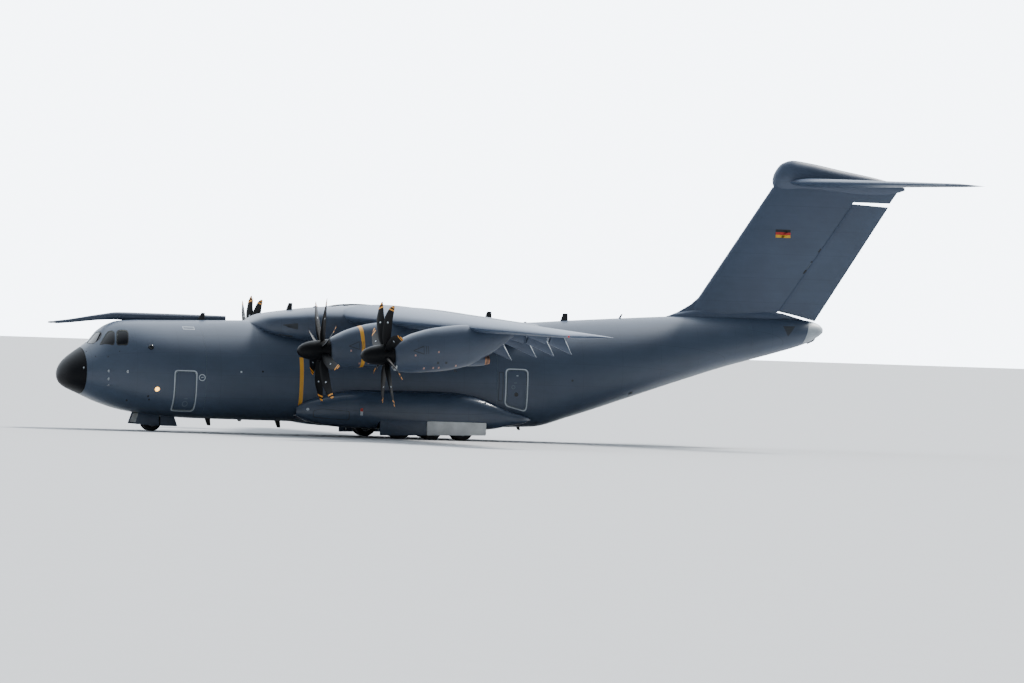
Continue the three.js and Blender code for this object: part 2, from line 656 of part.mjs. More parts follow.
function aileronHinge(side) {
  const end = (y) => {
    const w = wingAt(y);
    const [x, z] = chordPoint(y, AILERON_SHARE);
    const rise = CAMBER * 4 * AILERON_SHARE * (1 - AILERON_SHARE) * w.chord;
    return { place: [x, side * y, z + rise], radius: thickness(AILERON_SHARE, w.thick) * w.chord };
  };
  const [a, b] = AILERON_Y.map(end);
  return { from: a.place, to: b.place, radii: [a.radius, b.radius], shares: [0.2, 0.8],
    arm: [-0.35, 0, 0], back: 3, slopes: [0, 0, 0] };
}

function aileron(side) {
  const slab = loft([15, 20.4].map((y) => wingRing(y, side)));
  return hingedSurface(slab, aileronHinge(side), 'z', [3, 8]);
}

// Engine cowls in their own frame: x aft from the hub, z from the thrust line, then drooped
const COWL = [
  // x, half width, top, bottom
  [0.36, 0.52, 0.55, -0.62],
  [0.62, 0.60, 0.66, -0.84],
  [1.40, 0.72, 0.98, -0.94],
  [2.60, 0.80, 1.22, -0.92],
  [4.00, 0.78, 1.30, -0.74],
  [5.10, 0.55, 1.20, -0.30],
];
const INTAKE = { half: 0.30, top: -0.52, bottom: -0.80 };
const ENGINE = { x0: 1.0, x1: 3.7, half: 0.38, top: 0.42, bottom: -0.42, shaft: 0.14 };
const SPINNER_BACK = 0.32;
const COWL_WALL = 0.09;

function cowlRing([x, half, top, bottom], inset) {
  const ring = [];
  const n = 16;
  for (let i = 0; i < n; i += 1) {
    const angle = (2 * Math.PI * i) / n;
    const [s, c] = [Math.sin(angle), Math.cos(angle)];
    const [y, z] = [Math.sign(s) * Math.abs(s) ** 0.85, Math.sign(c) * Math.abs(c) ** 0.85];
    const middle = (top + bottom) / 2;
    ring.push([x, (half - inset) * y, middle + ((top - bottom) / 2 - inset) * z].map(len));
  }
  return ring;
}

function hubMatrix(hub) {
  return new THREE.Matrix4().makeTranslation(...at(hub.x, hub.y, hub.z))
    .multiply(new THREE.Matrix4().makeRotationY(rad(-DROOP)));
}

function atHub(solid, hub) {
  return fromGeometry(toGeometry(solid).applyMatrix4(hubMatrix(hub)));
}

function localBox(x0, x1, y0, y1, z0, z1) {
  const geometry = new THREE.BoxGeometry(len(x1 - x0), len(y1 - y0), len(z1 - z0));
  return fromGeometry(geometry.translate(len((x0 + x1) / 2), len((y0 + y1) / 2), len((z0 + z1) / 2)));
}

function localBar(x0, x1, radius, endRadius = radius, z = 0) {
  const geometry = new THREE.CylinderGeometry(len(endRadius), len(radius), len(x1 - x0), 12);
  return fromGeometry(geometry.rotateZ(-Math.PI / 2).translate(len((x0 + x1) / 2), 0, len(z)));
}

function nacelle(hub) {
  const outer = loft(COWL.map((row) => cowlRing(row, 0)));
  const cavity = loft(COWL.slice(1, 5).map((row) => cowlRing(row, COWL_WALL)));
  const intake = localBox(0.2, 0.95, -INTAKE.half, INTAKE.half, INTAKE.bottom, INTAKE.top);
  const outlet = localBox(3.8, 5.4, -0.2, 0.2, -0.42, -0.12);
  const shaftWay = localBar(0.2, 0.9, ENGINE.shaft + 0.02);
  const pipe = localBar(4.5, 5.4, 0.30, 0.25, -0.28);
  const shell = cutAll(outer.add(pipe), [cavity, intake, outlet, shaftWay]);
  return atHub(shell, hub).subtract(wingTool(Math.sign(hub.y)));
}

// The engine hangs from the cowl's roof by two mounts; its shaft runs out to the propeller's back
function engineBlock(hub) {
  const e = ENGINE;
  const mounts = [1.5, 3.0].map((x) => localBox(x, x + 0.25, -0.14, 0.14, e.top - 0.05, 1.6));
  const cavity = loft(COWL.slice(1, 5).map((row) => cowlRing(row, COWL_WALL + SEAT_GAP)));
  const block = localBox(e.x0, e.x1, -e.half, e.half, e.bottom, e.top);
  const shaft = localBar(SPINNER_BACK + SEAT_GAP, e.x0 + 0.1, e.shaft);
  const hung = join([block, ...mounts]).intersect(cavity).add(shaft);
  return atHub(hung, hub).subtract(wingTool(Math.sign(hub.y)));
}

// Propeller: a rounded spinner with eight swept blades, turning about its own x axis
const SPINNER = [[-1.28, 0], [-1.18, 0.22], [-0.96, 0.36], [-0.55, 0.47], [SPINNER_BACK, 0.53],
  [SPINNER_BACK, 0]];
const BLADE = [
  // radius, chord, thickness, pitch from the disc, sweep aft
  [0.40, 0.26, 0.120, 68, 0],
  [0.95, 0.44, 0.080, 54, -0.05],
  [1.75, 0.49, 0.050, 39, -0.03],
  [2.45, 0.33, 0.025, 29, 0.14],
  [PROP_RADIUS, 0.12, 0.014, 27, 0.27],
];

function bladeRing([radius, chord, thick, pitch, sweep], hand) {
  const outline = [[-0.5, 0], [-0.08, 0.5], [0.5, 0], [-0.08, -0.5]];
  const [s, c] = [Math.sin(rad(pitch)), Math.cos(rad(pitch))];
  return outline.map(([u, v]) => {
    const along = u * chord + sweep;
    const across = v * thick;
    return [along * s + across * c, hand * (along * c - across * s), radius].map(len);
  });
}

function propeller({ hand }) {
  const profile = SPINNER.map(([x, r]) => new THREE.Vector2(len(r), len(x)));
  const spinner = new THREE.LatheGeometry(profile, 14).rotateZ(-Math.PI / 2);
  const blade = loft(BLADE.map((row) => bladeRing(row, hand)));
  let solid = fromGeometry(spinner);
  for (let i = 0; i < BLADES; i += 1) {
    const geometry = toGeometry(blade).rotateX((2 * Math.PI * (i + 0.5)) / BLADES);
    solid = solid.add(fromGeometry(geometry));
  }
  return solid;
}

// Wheels: two tyres with their rims on one axle, about their own centre
function wheelPair({ radius, width, rim, offset }, axle) {
  const w = width / 2;
  // From the flat inner face round the tyre to the recessed outer face of the rim
  const profile = [[0, -w], [radius * 0.88, -w], [radius, -w * 0.62], [radius, w * 0.62],
    [radius * 0.88, w], [rim * 1.05, w], [rim * 0.9, w * 0.55], [0, w * 0.55]];
  const pieces = [1, -1].map((side) => {
    const points = profile.map(([r, y]) => new THREE.Vector2(len(r), len(y)));
    const tyre = new THREE.LatheGeometry(points, 14).translate(0, len(offset), 0);
    return fromGeometry(side > 0 ? tyre : tyre.rotateX(Math.PI));
  });
  pieces.push(fromGeometry(new THREE.CylinderGeometry(len(axle), len(axle), len(2 * offset), PIN_SIDES)));
  return join(pieces);
}

const MAIN_AXLE = 0.06;
const NOSE_AXLE = 0.05;

// Main gear on one side: a beam under the bay roof with three struts, trailing arms and axle bosses
function mainGear(side) {
  const y = side * MAIN_GEAR_Y;
  const roof = MAIN_BAY.top;
  const pieces = [box(MAIN_GEAR_X - 2.35, MAIN_GEAR_X + 1.75, y - 0.09, y + 0.09, roof - 0.24, roof - SEAT_GAP)];
  const bores = [];
  const z = MAIN_TYRE.radius;
  for (const step of [-1, 0, 1]) {
    const x = MAIN_GEAR_X + step * AXLE_SPACING;
    const pivot = [x - 0.46, y, 0.92];
    pieces.push(bar([x - 0.42, y, roof - 0.2], pivot, 0.085, 0.075, 7));
    pieces.push(bar([pivot[0], y - 0.09, pivot[2]], [pivot[0], y + 0.09, pivot[2]], 0.11, 0.11, 6));
    pieces.push(bar(pivot, [x, y, z], 0.075, 0.08, 4));
    pieces.push(bar([x - 0.03, y, z + 0.06], [x - 0.1, y, roof - 0.2], 0.05, 0.065, 6));
    pieces.push(bar([x, y - 0.085, z], [x, y + 0.085, z], 0.13, 0.13, 12));
    bores.push(bore(x, y, z, MAIN_AXLE));
  }
  return cutAll(join(pieces), bores);
}

function noseLeg() {
  const x = NOSE_GEAR_X;
  const top = NOSE_BAY.top - SEAT_GAP;
  return join([
    bar([x, 0, top], [x, 0, 1.02], 0.12, 0.12, 12),
    bar([x, 0, 1.35], [x + 0.95, 0, top - 0.08], 0.05),
    box(x + 0.85, x + 1.05, -0.12, 0.12, top - 0.16, top),
    box(x - 0.18, x + 0.18, -0.3, 0.3, top - 0.12, top),
  ]);
}

function noseFork() {
  const x = NOSE_GEAR_X;
  const z = NOSE_TYRE.radius;
  const tow = box(x - 0.30, x - 0.1, -0.05, 0.05, z - 0.06, z + 0.06);
  const solid = join([
    bar([x, 0, 1.02 - SEAT_GAP], [x, 0, z], 0.085, 0.085, 12),
    bar([x, -0.08, z], [x, 0.08, z], 0.12, 0.12, 12),
    box(x + 0.05, x + 0.2, -0.05, 0.05, 0.62, 0.94),
    tow,
  ]);
  return solid.subtract(bore(x, 0, z, NOSE_AXLE));
}

// Nose gear doors hang beside the bay, splayed a little outward
function noseDoor(side, x0, x1) {
  const half = NOSE_BAY.half;
  const outline = [[half + 0.05, 0.93], [half + 0.09, 0.93], [half + 0.19, 0.26], [half + 0.15, 0.26]]
    .map(([y, z]) => [side * y, z]);
  return prism(outline, 'x', x0, x1).subtract(hull(RADOME_END, NOSE_END, -SEAT_GAP));
}

// Sponsons
const SPONSON = [
  // x, outer y, top, bottom
  [11.6, 2.95, 1.50, 0.95],
  [12.6, 3.25, 1.95, 0.66],
  [13.8, 3.58, 2.27, 0.50],
  [14.8, 3.78, 2.38, 0.46],
  [19.2, 3.80, 2.42, 0.50],
  [20.5, 3.76, 2.30, 0.53],
  [21.7, 3.52, 1.96, 0.60],
  [22.8, 3.10, 1.52, 0.82],
  [23.9, 2.72, 1.28, 1.02],
];
const SPONSON_MID = 2.40;
const SPONSON_INNER = 1.75;

function sponsonRing([x, outer, top, bottom], side, grow) {
  const ring = [];
  const n = 16;
  const middle = (top + bottom) / 2;
  for (let i = 0; i < n; i += 1) {
    const angle = (2 * Math.PI * i) / n;
    const [s, c] = [Math.sin(angle), Math.cos(angle)];
    const reach = grow + (s >= 0 ? outer - SPONSON_MID : SPONSON_MID - SPONSON_INNER);
    const y = SPONSON_MID + reach * Math.sign(s) * Math.abs(s) ** 0.62;
    ring.push(at(x, side * y, middle + ((top - bottom) / 2 + grow) * Math.sign(c) * Math.abs(c) ** 0.62));
  }
  return ring;
}

function sponson(side) {
  const [y0, y1] = [side * MAIN_BAY.y0, side * MAIN_BAY.y1].sort((a, b) => a - b);
  return loft(SPONSON.map((row) => sponsonRing(row, side, 0)))
    .subtract(hull(NOSE_END, 26.3, -SEAT_GAP))
    .subtract(box(MAIN_BAY.x0, MAIN_BAY.x1, y0, y1, 0.1, MAIN_BAY.top));
}

function mainDoor(side) {
  const y = side * (MAIN_BAY.y1 + 0.045);
  const outline = [[15.67, 0.16], [21.20, 0.30], [21.20, 0.98], [15.67, 0.98]];
  return prism(outline, 'y', y - 0.022, y + 0.022)
    .subtract(loft(SPONSON.map((row) => sponsonRing(row, side, SEAT_GAP * 1.5))));
}

// Fin, rudder, bullet fairing and tailplane
function finX(z) {
  const t = (z - FIN.z0) / (FIN.z1 - FIN.z0);
  return { le: FIN.le0 + (FIN.le1 - FIN.le0) * t, te: FIN.te0 + (FIN.te1 - FIN.te0) * t };
}

function finRing(z, half) {
  const { le, te } = finX(z);
  const chord = te - le;
  const steps = [0, 0.02, 0.1, 0.28, 0.5, 0.72, 1];
  return foil(le, chord, half * 2, 0, 0, steps).map(([x, h]) => at(x, h, z));
}

const RUDDER_Z = [7.05, 12.62];

function rudderHinge() {
  const end = (z) => {
    const { le, te } = finX(z);
    const share = 1 - (RUDDER_CHORD / (te - le));
    return { place: [te - RUDDER_CHORD, 0, z], radius: thickness(share, 0.118) * (te - le) };
  };
  const [a, b] = RUDDER_Z.map(end);
  return { from: a.place, to: b.place, radii: [a.radius, b.radius], shares: [0.12, 0.88],
    arm: [-0.5, 0, 0], back: 3.2, slopes: [-0.25, -0.08, 0.09] };
}

function finSolid() {
  return loft([finRing(6.0, 0.060), finRing(FIN.z0, 0.058), finRing(10, 0.055), finRing(FIN.z1, 0.052)]);
}

function dorsal() {
  const rows = [[31.6, 6.50, 0.03], [32.6, 6.88, 0.16], [33.6, 7.9, 0.20], [34.6, 8.4, 0.20]];
  return loft(rows.map(([x, top, half]) => [[-half, 6.0], [half, 6.0], [half * 0.8, top - 0.3],
    [0.02, top], [-0.02, top], [-half * 0.8, top - 0.3]].map(([y, z]) => at(x, y, z))));
}

function fin() {
  return finSolid().add(dorsal())
    .subtract(hingeTool(rudderHinge(), 'y', [-1, 1], RUN_GAP, 0.09))
    .subtract(hull(29.4, HULL_TIP, -SEAT_GAP))
    .subtract(bullet(SEAT_GAP * 1.5))
    .add(hingeKnuckles(rudderHinge(), 0));
}

function rudder() {
  const slab = loft([finRing(6.6, 0.060), finRing(FIN.z1, 0.052)]);
  return hingedSurface(slab, rudderHinge(), 'y', [-1, 1]).subtract(hull(29.4, HULL_TIP, -RUN_GAP));
}

const BULLET = [
  // x, half width, top, bottom
  [37.18, 0.10, 13.85, 13.45],
  [37.32, 0.26, 14.15, 13.25],
  [37.70, 0.40, 14.58, 13.10],
  [38.25, 0.46, 14.74, 13.05],
  [39.20, 0.46, 14.62, 13.02],
  [41.00, 0.40, 14.30, 13.00],
  [43.00, 0.26, 13.95, 13.10],
  [44.35, 0.06, 13.60, 13.35],
];

function bullet(grow) {
  return loft(BULLET.map(([x, half, top, bottom]) => {
    const ring = [];
    const n = 12;
    for (let i = 0; i < n; i += 1) {
      const angle = (2 * Math.PI * i) / n;
      const z = (top + bottom) / 2 + ((top - bottom) / 2 + grow) * Math.cos(angle);
      ring.push(at(x, (half + grow) * Math.sin(angle), z));
    }
    return ring;
  }));
}

function tailAt(y) {
  const t = Math.abs(y) / TAILPLANE.half;
  return { le: TAILPLANE.le + (TAILPLANE.tipLe - TAILPLANE.le) * t,
    chord: TAILPLANE.root + (TAILPLANE.tip - TAILPLANE.root) * t };
}

function tailRing(y, grow) {
  const { le, chord } = tailAt(y);
  return foil(le, chord, TAILPLANE.thick, 0, 0, [0, 0.03, 0.12, 0.3, 0.55, 0.78, 1], grow)
    .map(([x, h]) => at(x, y, TAILPLANE.z + h));
}

const ELEVATOR_Y = [0.75, 9.2];
const ELEVATOR_SHARE = 0.70;

function elevatorHinge(side) {
  const end = (y) => {
    const { le, chord } = tailAt(y);
    return { place: [le + ELEVATOR_SHARE * chord, side * y, TAILPLANE.z],
      radius: thickness(ELEVATOR_SHARE, TAILPLANE.thick) * chord };
  };
  const [a, b] = ELEVATOR_Y.map(end);
  return { from: a.place, to: b.place, radii: [a.radius, b.radius], shares: [0.12, 0.88],
    arm: [-0.4, 0, 0], back: 4, slopes: [0, 0, 0] };
}

function tailplaneSolid(grow = 0) {
  return loft([-TAILPLANE.half, 0, TAILPLANE.half].map((y) => tailRing(y, grow)));
}

function tailplane() {
  const hinges = [1, -1].map(elevatorHinge);
  const body = cutAll(tailplaneSolid(), hinges.map((hinge) => hingeTool(hinge, 'z', [12, 15], RUN_GAP, 0.05)));
  return hinges.reduce(fixedWith, body);
}

function elevator(side) {
  return hingedSurface(tailplaneSolid(), elevatorHinge(side), 'z', [12, 15]);
}

// Refuelling probe and its fairing along the cockpit roof, just right of the middle
const PROBE_Y = 0.30;
const PROBE = [
  // x, z, radius
  [PROBE_TIP_X, 5.24, 0.045],
  [-0.10, 5.26, 0.075],
  [0.30, 5.30, 0.085],
  [2.20, 5.58, 0.15],
  [3.00, 5.66, 0.19],
  [3.90, 5.64, 0.22],
  [6.20, 5.66, 0.20],
  [8.60, 5.70, 0.14],
];

function probe() {
  return loft(PROBE.map(([x, z, r]) => {
    const ring = [];
    for (let i = 0; i < 10; i += 1) {
      const angle = (2 * Math.PI * i) / 10;
      ring.push(at(x, PROBE_Y + r * Math.sin(angle), z + r * Math.cos(angle)));
    }
    return ring;
  })).subtract(hull(RADOME_END, FORWARD_END, -SEAT_GAP));
}

// Assembly
add('radome', hull(HULL[0][0], RADOME_END, 0), 'dark');
add('nose_section', noseSection(), 'skin');
add('cockpit_glazing', glazing(), 'glass');
add('flight_deck', flightDeck(), 'deck');
add('crew_door', crewDoor(), 'skin');
add('forward_fuselage', hullShell(NOSE_END + SEAT_GAP, FORWARD_END), 'skin');
add('centre_fuselage', hullShell(FORWARD_END + SEAT_GAP, CENTRE_END), 'skin');
add('aft_fuselage', aftFuselage(), 'skin');
add('tail_cone', tailCone(), 'skin');
add('hold_floor', holdFloor(), 'deck');
add('loading_ramp', ramp(), 'skin');
add('upper_cargo_door', upperDoor(), 'skin');
add('refuelling_probe', probe(), 'skin');
add('wing_fairing', wingFairing(), 'skin');

for (const [label, side] of [['left', -1], ['right', 1]]) {
  add(`wing_${label}`, wing(side), 'skin');
  add(`flap_${label}`, flap(side), 'skin');
  add(`aileron_${label}`, aileron(side), 'skin');
  add(`sponson_${label}`, sponson(side), 'skin');
  add(`main_gear_door_${label}`, mainDoor(side), 'white');
  add(`main_gear_${label}`, mainGear(side), 'metal');
  add(`paratroop_door_${label}`, paraDoor(side), 'skin');
  for (const [row, step] of [['front', -1], ['middle', 0], ['rear', 1]]) {
    const wheels = add(`main_wheels_${label}_${row}`, wheelPair(MAIN_TYRE, MAIN_AXLE), 'tyre');
    wheels.position.set(...at(MAIN_GEAR_X + step * AXLE_SPACING, side * MAIN_GEAR_Y, MAIN_TYRE.radius));
  }
}

for (const hub of HUBS) {
  add(`nacelle_${hub.name}`, nacelle(hub), 'skin');
  add(`engine_${hub.name}`, engineBlock(hub), 'metal');
  const mount = new THREE.Group();
  mount.position.set(...at(hub.x, hub.y, hub.z));
  mount.rotation.y = rad(-DROOP);
  add(`propeller_${hub.name}`, propeller(hub), 'dark', mount);
  plane.add(mount);
}

add('nose_leg', noseLeg(), 'metal');
add('nose_fork', noseFork(), 'metal');
const noseWheels = add('nose_wheels', wheelPair(NOSE_TYRE, NOSE_AXLE), 'tyre');
noseWheels.position.set(...at(NOSE_GEAR_X, 0, NOSE_TYRE.radius));
for (const [label, side] of [['left', -1], ['right', 1]]) {
  add(`nose_door_front_${label}`, noseDoor(side, NOSE_BAY.x0, 5.10), 'white');
  add(`nose_door_rear_${label}`, noseDoor(side, 5.16, NOSE_BAY.x1), 'white');
}

add('fin', fin(), 'skin');
add('rudder', rudder(), 'skin');
add('fin_top_fairing', bullet(0).subtract(tailplaneSolid(SEAT_GAP * 1.5)), 'skin');
add('tailplane', tailplane(), 'skin');
add('elevator_left', elevator(-1), 'skin');
add('elevator_right', elevator(1), 'skin');

export default plane;
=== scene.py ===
"""Looks of the military transport plane: fine skins, small fittings, finishes, light and camera.

Places and lengths are the real aeroplane's, in metres: x runs aft from the nose tip, y to the
right wing, z up from the ground. at() and size() turn them into metres of the 1:2 model.
"""
import logging
import math
from dataclasses import dataclass, field
from enum import Enum
from typing import Callable, Sequence

import bmesh
import bpy
from mathutils import Matrix, Vector


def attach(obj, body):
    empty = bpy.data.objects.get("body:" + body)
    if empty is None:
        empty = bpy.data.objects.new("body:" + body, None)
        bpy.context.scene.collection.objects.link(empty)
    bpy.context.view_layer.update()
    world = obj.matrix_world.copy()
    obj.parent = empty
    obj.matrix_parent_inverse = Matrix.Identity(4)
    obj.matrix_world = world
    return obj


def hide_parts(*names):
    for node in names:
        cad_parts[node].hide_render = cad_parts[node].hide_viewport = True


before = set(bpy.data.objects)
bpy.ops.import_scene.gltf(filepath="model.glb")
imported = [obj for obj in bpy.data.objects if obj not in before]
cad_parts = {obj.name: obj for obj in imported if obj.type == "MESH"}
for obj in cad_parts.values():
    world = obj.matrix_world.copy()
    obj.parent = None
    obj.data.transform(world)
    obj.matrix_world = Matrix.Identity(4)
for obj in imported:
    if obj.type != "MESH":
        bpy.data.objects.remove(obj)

log = logging.getLogger("transport_plane")
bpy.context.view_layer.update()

SCALE = 0.5
ORIGIN_X = 22.35       # the real x where the model's x is 0
WELD = 1e-5            # points closer than this are one point, in model metres
CUT_REACH = 1e-4       # how far beside an edge a cut looks for faces
CUT_SNAP = 1e-6        # points closer to a cut than this lie on it
SMOOTH_BELOW = 32      # edges sharper than this stay sharp, in degrees
PROUD = 0.012          # how far thin plates and patches stand off a skin
CORNER_STEPS = 4       # edges in each rounded corner of an outline
SIDE_EDGE = 0.12       # longest edge of an outline on the hull's side
BELLY_EDGE = 0.15      # longest edge of an outline on the hull's belly
GLASS_IOR = 1.52       # how strongly soda-lime glass bends light

Pair = tuple[float, float]
Triple = tuple[float, float, float]
Row = tuple[float, ...]
Ring = Sequence[Vector]
Outline = Sequence[Pair]
Mesh = bmesh.types.BMesh
Faces = list[bmesh.types.BMFace]
Tree = bpy.types.NodeTree
Socket = bpy.types.NodeSocket


class Side(Enum):
    """The two sides of the aeroplane, with the sign of y."""

    LEFT = -1
    RIGHT = 1

    @property
    def label(self) -> str:
        """The side's word in node names."""
        return self.name.lower()


def at(x: float, y: float, z: float) -> Vector:
    """The model place of a real place.

    Args:
        x, y, z: metres on the real aeroplane.

    Returns:
        The place in metres of the model.
    """
    return Vector(((x - ORIGIN_X) * SCALE, y * SCALE, z * SCALE))


def size(length: float) -> float:
    """The model's length for a real length."""
    return length * SCALE


def mix(a: float, b: float, t: float) -> float:
    """The value at a share t of the way from a to b."""
    return a + (b - a) * t


def steps(low: float, high: float, count: int) -> list[float]:
    """Evenly spaced values from low to high, both included."""
    return [mix(low, high, i / count) for i in range(count + 1)]


def angles(count: int) -> list[float]:
    """Angles spread evenly over a full turn."""
    return steps(0, math.tau, count)[:-1]


def power(value: float, exponent: float) -> float:
    """A signed power, for squared-off round sections."""
    return math.copysign(abs(value) ** exponent, value)


@dataclass(frozen=True)
class Table:
    """Smooth curves without overshoot through the rows of a table."""

    rows: tuple[Row, ...]
    warp: Callable[[float], float] = lambda x: x

    def _slope(self, i: int, column: int) -> float:
        """The curve's slope at one row."""
        last = len(self.rows) - 1

        def rise(k: int) -> float:
            step = self.warp(self.rows[k + 1][0]) - self.warp(self.rows[k][0])
            return (self.rows[k + 1][column] - self.rows[k][column]) / step

        if i in (0, last):
            return rise(min(i, last - 1))
        before, after = rise(i - 1), rise(i)
        return 0.0 if before * after <= 0 else 2 * before * after / (before + after)

    def at(self, x: float) -> list[float]:
        """All columns but the first at x.

        Args:
            x: a value in the range of the first column.

        Returns:
            The other columns' values there.
        """
        x = min(max(x, self.rows[0][0]), self.rows[-1][0])
        i = next((k for k in range(len(self.rows) - 1) if x <= self.rows[k + 1][0]), 0)
        start, end = self.warp(self.rows[i][0]), self.warp(self.rows[i + 1][0])
        span = end - start
        t = (self.warp(x) - start) / span
        values = []
        for column in range(1, len(self.rows[0])):
            a, b = self.rows[i][column], self.rows[i + 1][column]
            m, n = self._slope(i, column) * span, self._slope(i + 1, column) * span
            values.append((2 * t**3 - 3 * t**2 + 1) * a + (t**3 - 2 * t**2 + t) * m
                          + (3 * t**2 - 2 * t**3) * b + (t**3 - t**2) * n)
        return values


# Shader building

def linear(code: str) -> tuple[float, float, float, float]:
    """The linear colour of an sRGB hex value.

    Args:
        code: six hex digits after a hash mark.

    Returns:
        Linear red, green and blue, with an alpha of 1.
    """
    values = [int(code[i:i + 2], 16) / 255 for i in (1, 3, 5)]
    red, green, blue = (v / 12.92 if v <= 0.04045 else ((v + 0.055) / 1.055) ** 2.4 for v in values)
    return red, green, blue, 1.0


def add_node(tree: Tree, kind: str, settings: dict | None = None) -> bpy.types.Node:
    """Add one shader node.

    Args:
        tree: the material's node tree.
        kind: the node's type name without the "ShaderNode" that all share.
        settings: its properties by lower-case name, and for its inputs, by socket name or
            number, a value or the output socket that goes in.

    Returns:
        The new node.
    """
    node = tree.nodes.new("ShaderNode" + kind)
    for key, value in (settings or {}).items():
        if isinstance(key, str) and key.islower():
            setattr(node, key, value)
        elif isinstance(value, Socket):
            tree.links.new(value, node.inputs[key])
        else:
            node.inputs[key].default_value = value
    return node


def noise(tree: Tree, place: Socket, scale: float, detail: float, roughness: float = 0.5) -> Socket:
    """Cloudy noise from 0 to 1."""
    return add_node(tree, "TexNoise", {"Vector": place, "Scale": scale, "Detail": detail,
                                       "Roughness": roughness}).outputs["Fac"]


def remap(tree: Tree, value: Socket, before: Pair, after: Pair) -> Socket:
    """A value moved from one range into another and held there."""
    return add_node(tree, "MapRange", {"Value": value, "From Min": before[0], "From Max": before[1],
                                       "To Min": after[0], "To Max": after[1]}).outputs["Result"]


def scaled(tree: Tree, colour: Socket | Sequence[float], share: Socket) -> Socket:
    """A colour made lighter or darker."""
    return add_node(tree, "VectorMath", {"operation": "SCALE", 0: colour, "Scale": share}).outputs["Vector"]


def reckon(tree: Tree, operation: str, first: Socket, second: Socket | float) -> Socket:
    """The result of one arithmetic step."""
    return add_node(tree, "Math", {"operation": operation, 0: first, 1: second}).outputs[0]


@dataclass(frozen=True)
class Finish:
    """A surface finish: one colour with slow drift, fine grain, and what a subclass draws on it."""

    name: str
    colour: str
    roughness: float = 0.5
    metallic: float = 0.0
    coat: float = 0.0
    mirror: float = 0.5        # how strongly it mirrors; matt coats less than the usual half
    drift: float = 0.08        # how far light and dark patches go, as a share of the colour
    drift_mm: float = 900.0    # size of those patches
    grain: float = 0.02        # bump strength of the fine grain
    grain_mm: float = 6.0      # size of the grain; drawn coarse, real spray texture is near 1 mm

    def material(self) -> bpy.types.Material:
        """The Blender material, made once."""
        found = bpy.data.materials.get(self.name)
        if found:
            return found
        made = bpy.data.materials.new(self.name)
        made.use_nodes = True
        tree = made.node_tree
        shader = tree.nodes["Principled BSDF"]
        for socket, value in (("Roughness", self.roughness), ("Metallic", self.metallic),
                              ("Coat Weight", self.coat), ("Specular IOR Level", self.mirror)):
            shader.inputs[socket].default_value = value
        place = add_node(tree, "TexCoord").outputs["Object"]
        patches = noise(tree, place, 1000 / self.drift_mm, 4.0)
        light = remap(tree, patches, (0.3, 0.7), (1 - self.drift, 1 + self.drift))
        base = scaled(tree, linear(self.colour)[:3], light)
        grain = noise(tree, place, 1000 / self.grain_mm, 2.0)
        colour, height = self.draw(tree, place, base, grain)
        tree.links.new(colour, shader.inputs["Base Color"])
        bump = add_node(tree, "Bump", {"Strength": self.grain, "Distance": 0.01, "Height": height})
        tree.links.new(bump.outputs["Normal"], shader.inputs["Normal"])
        self.shade(shader)
        return made

    def draw(self, tree: Tree, place: Socket, base: Socket, grain: Socket) -> tuple[Socket, Socket]:
        """Draw the finish's own pattern; this one has none.

        Args:
            tree: the material's node tree; not used here.
            place: object coordinates; not used here.
            base: the drifting colour.
            grain: the fine noise.

        Returns:
            The colour and the height of the surface.
        """
        return base, grain

    def shade(self, shader: bpy.types.Node) -> None:
        """Set what else the shader needs; this one needs nothing."""


def seam_mask(tree: Tree, value: Socket, pitch: float, width: float) -> Socket:
    """Lines where a value is a whole multiple of a pitch.

    Args:
        tree: the material's node tree.
        value: the running value.
        pitch: distance between lines, in the value's unit.
        width: width of a line, in the same unit.

    Returns:
        1 on a line and 0 between lines.
    """
    near = reckon(tree, "PINGPONG", reckon(tree, "DIVIDE", value, pitch), 0.5)
    return remap(tree, near, (0.0, width / pitch), (1.0, 0.0))


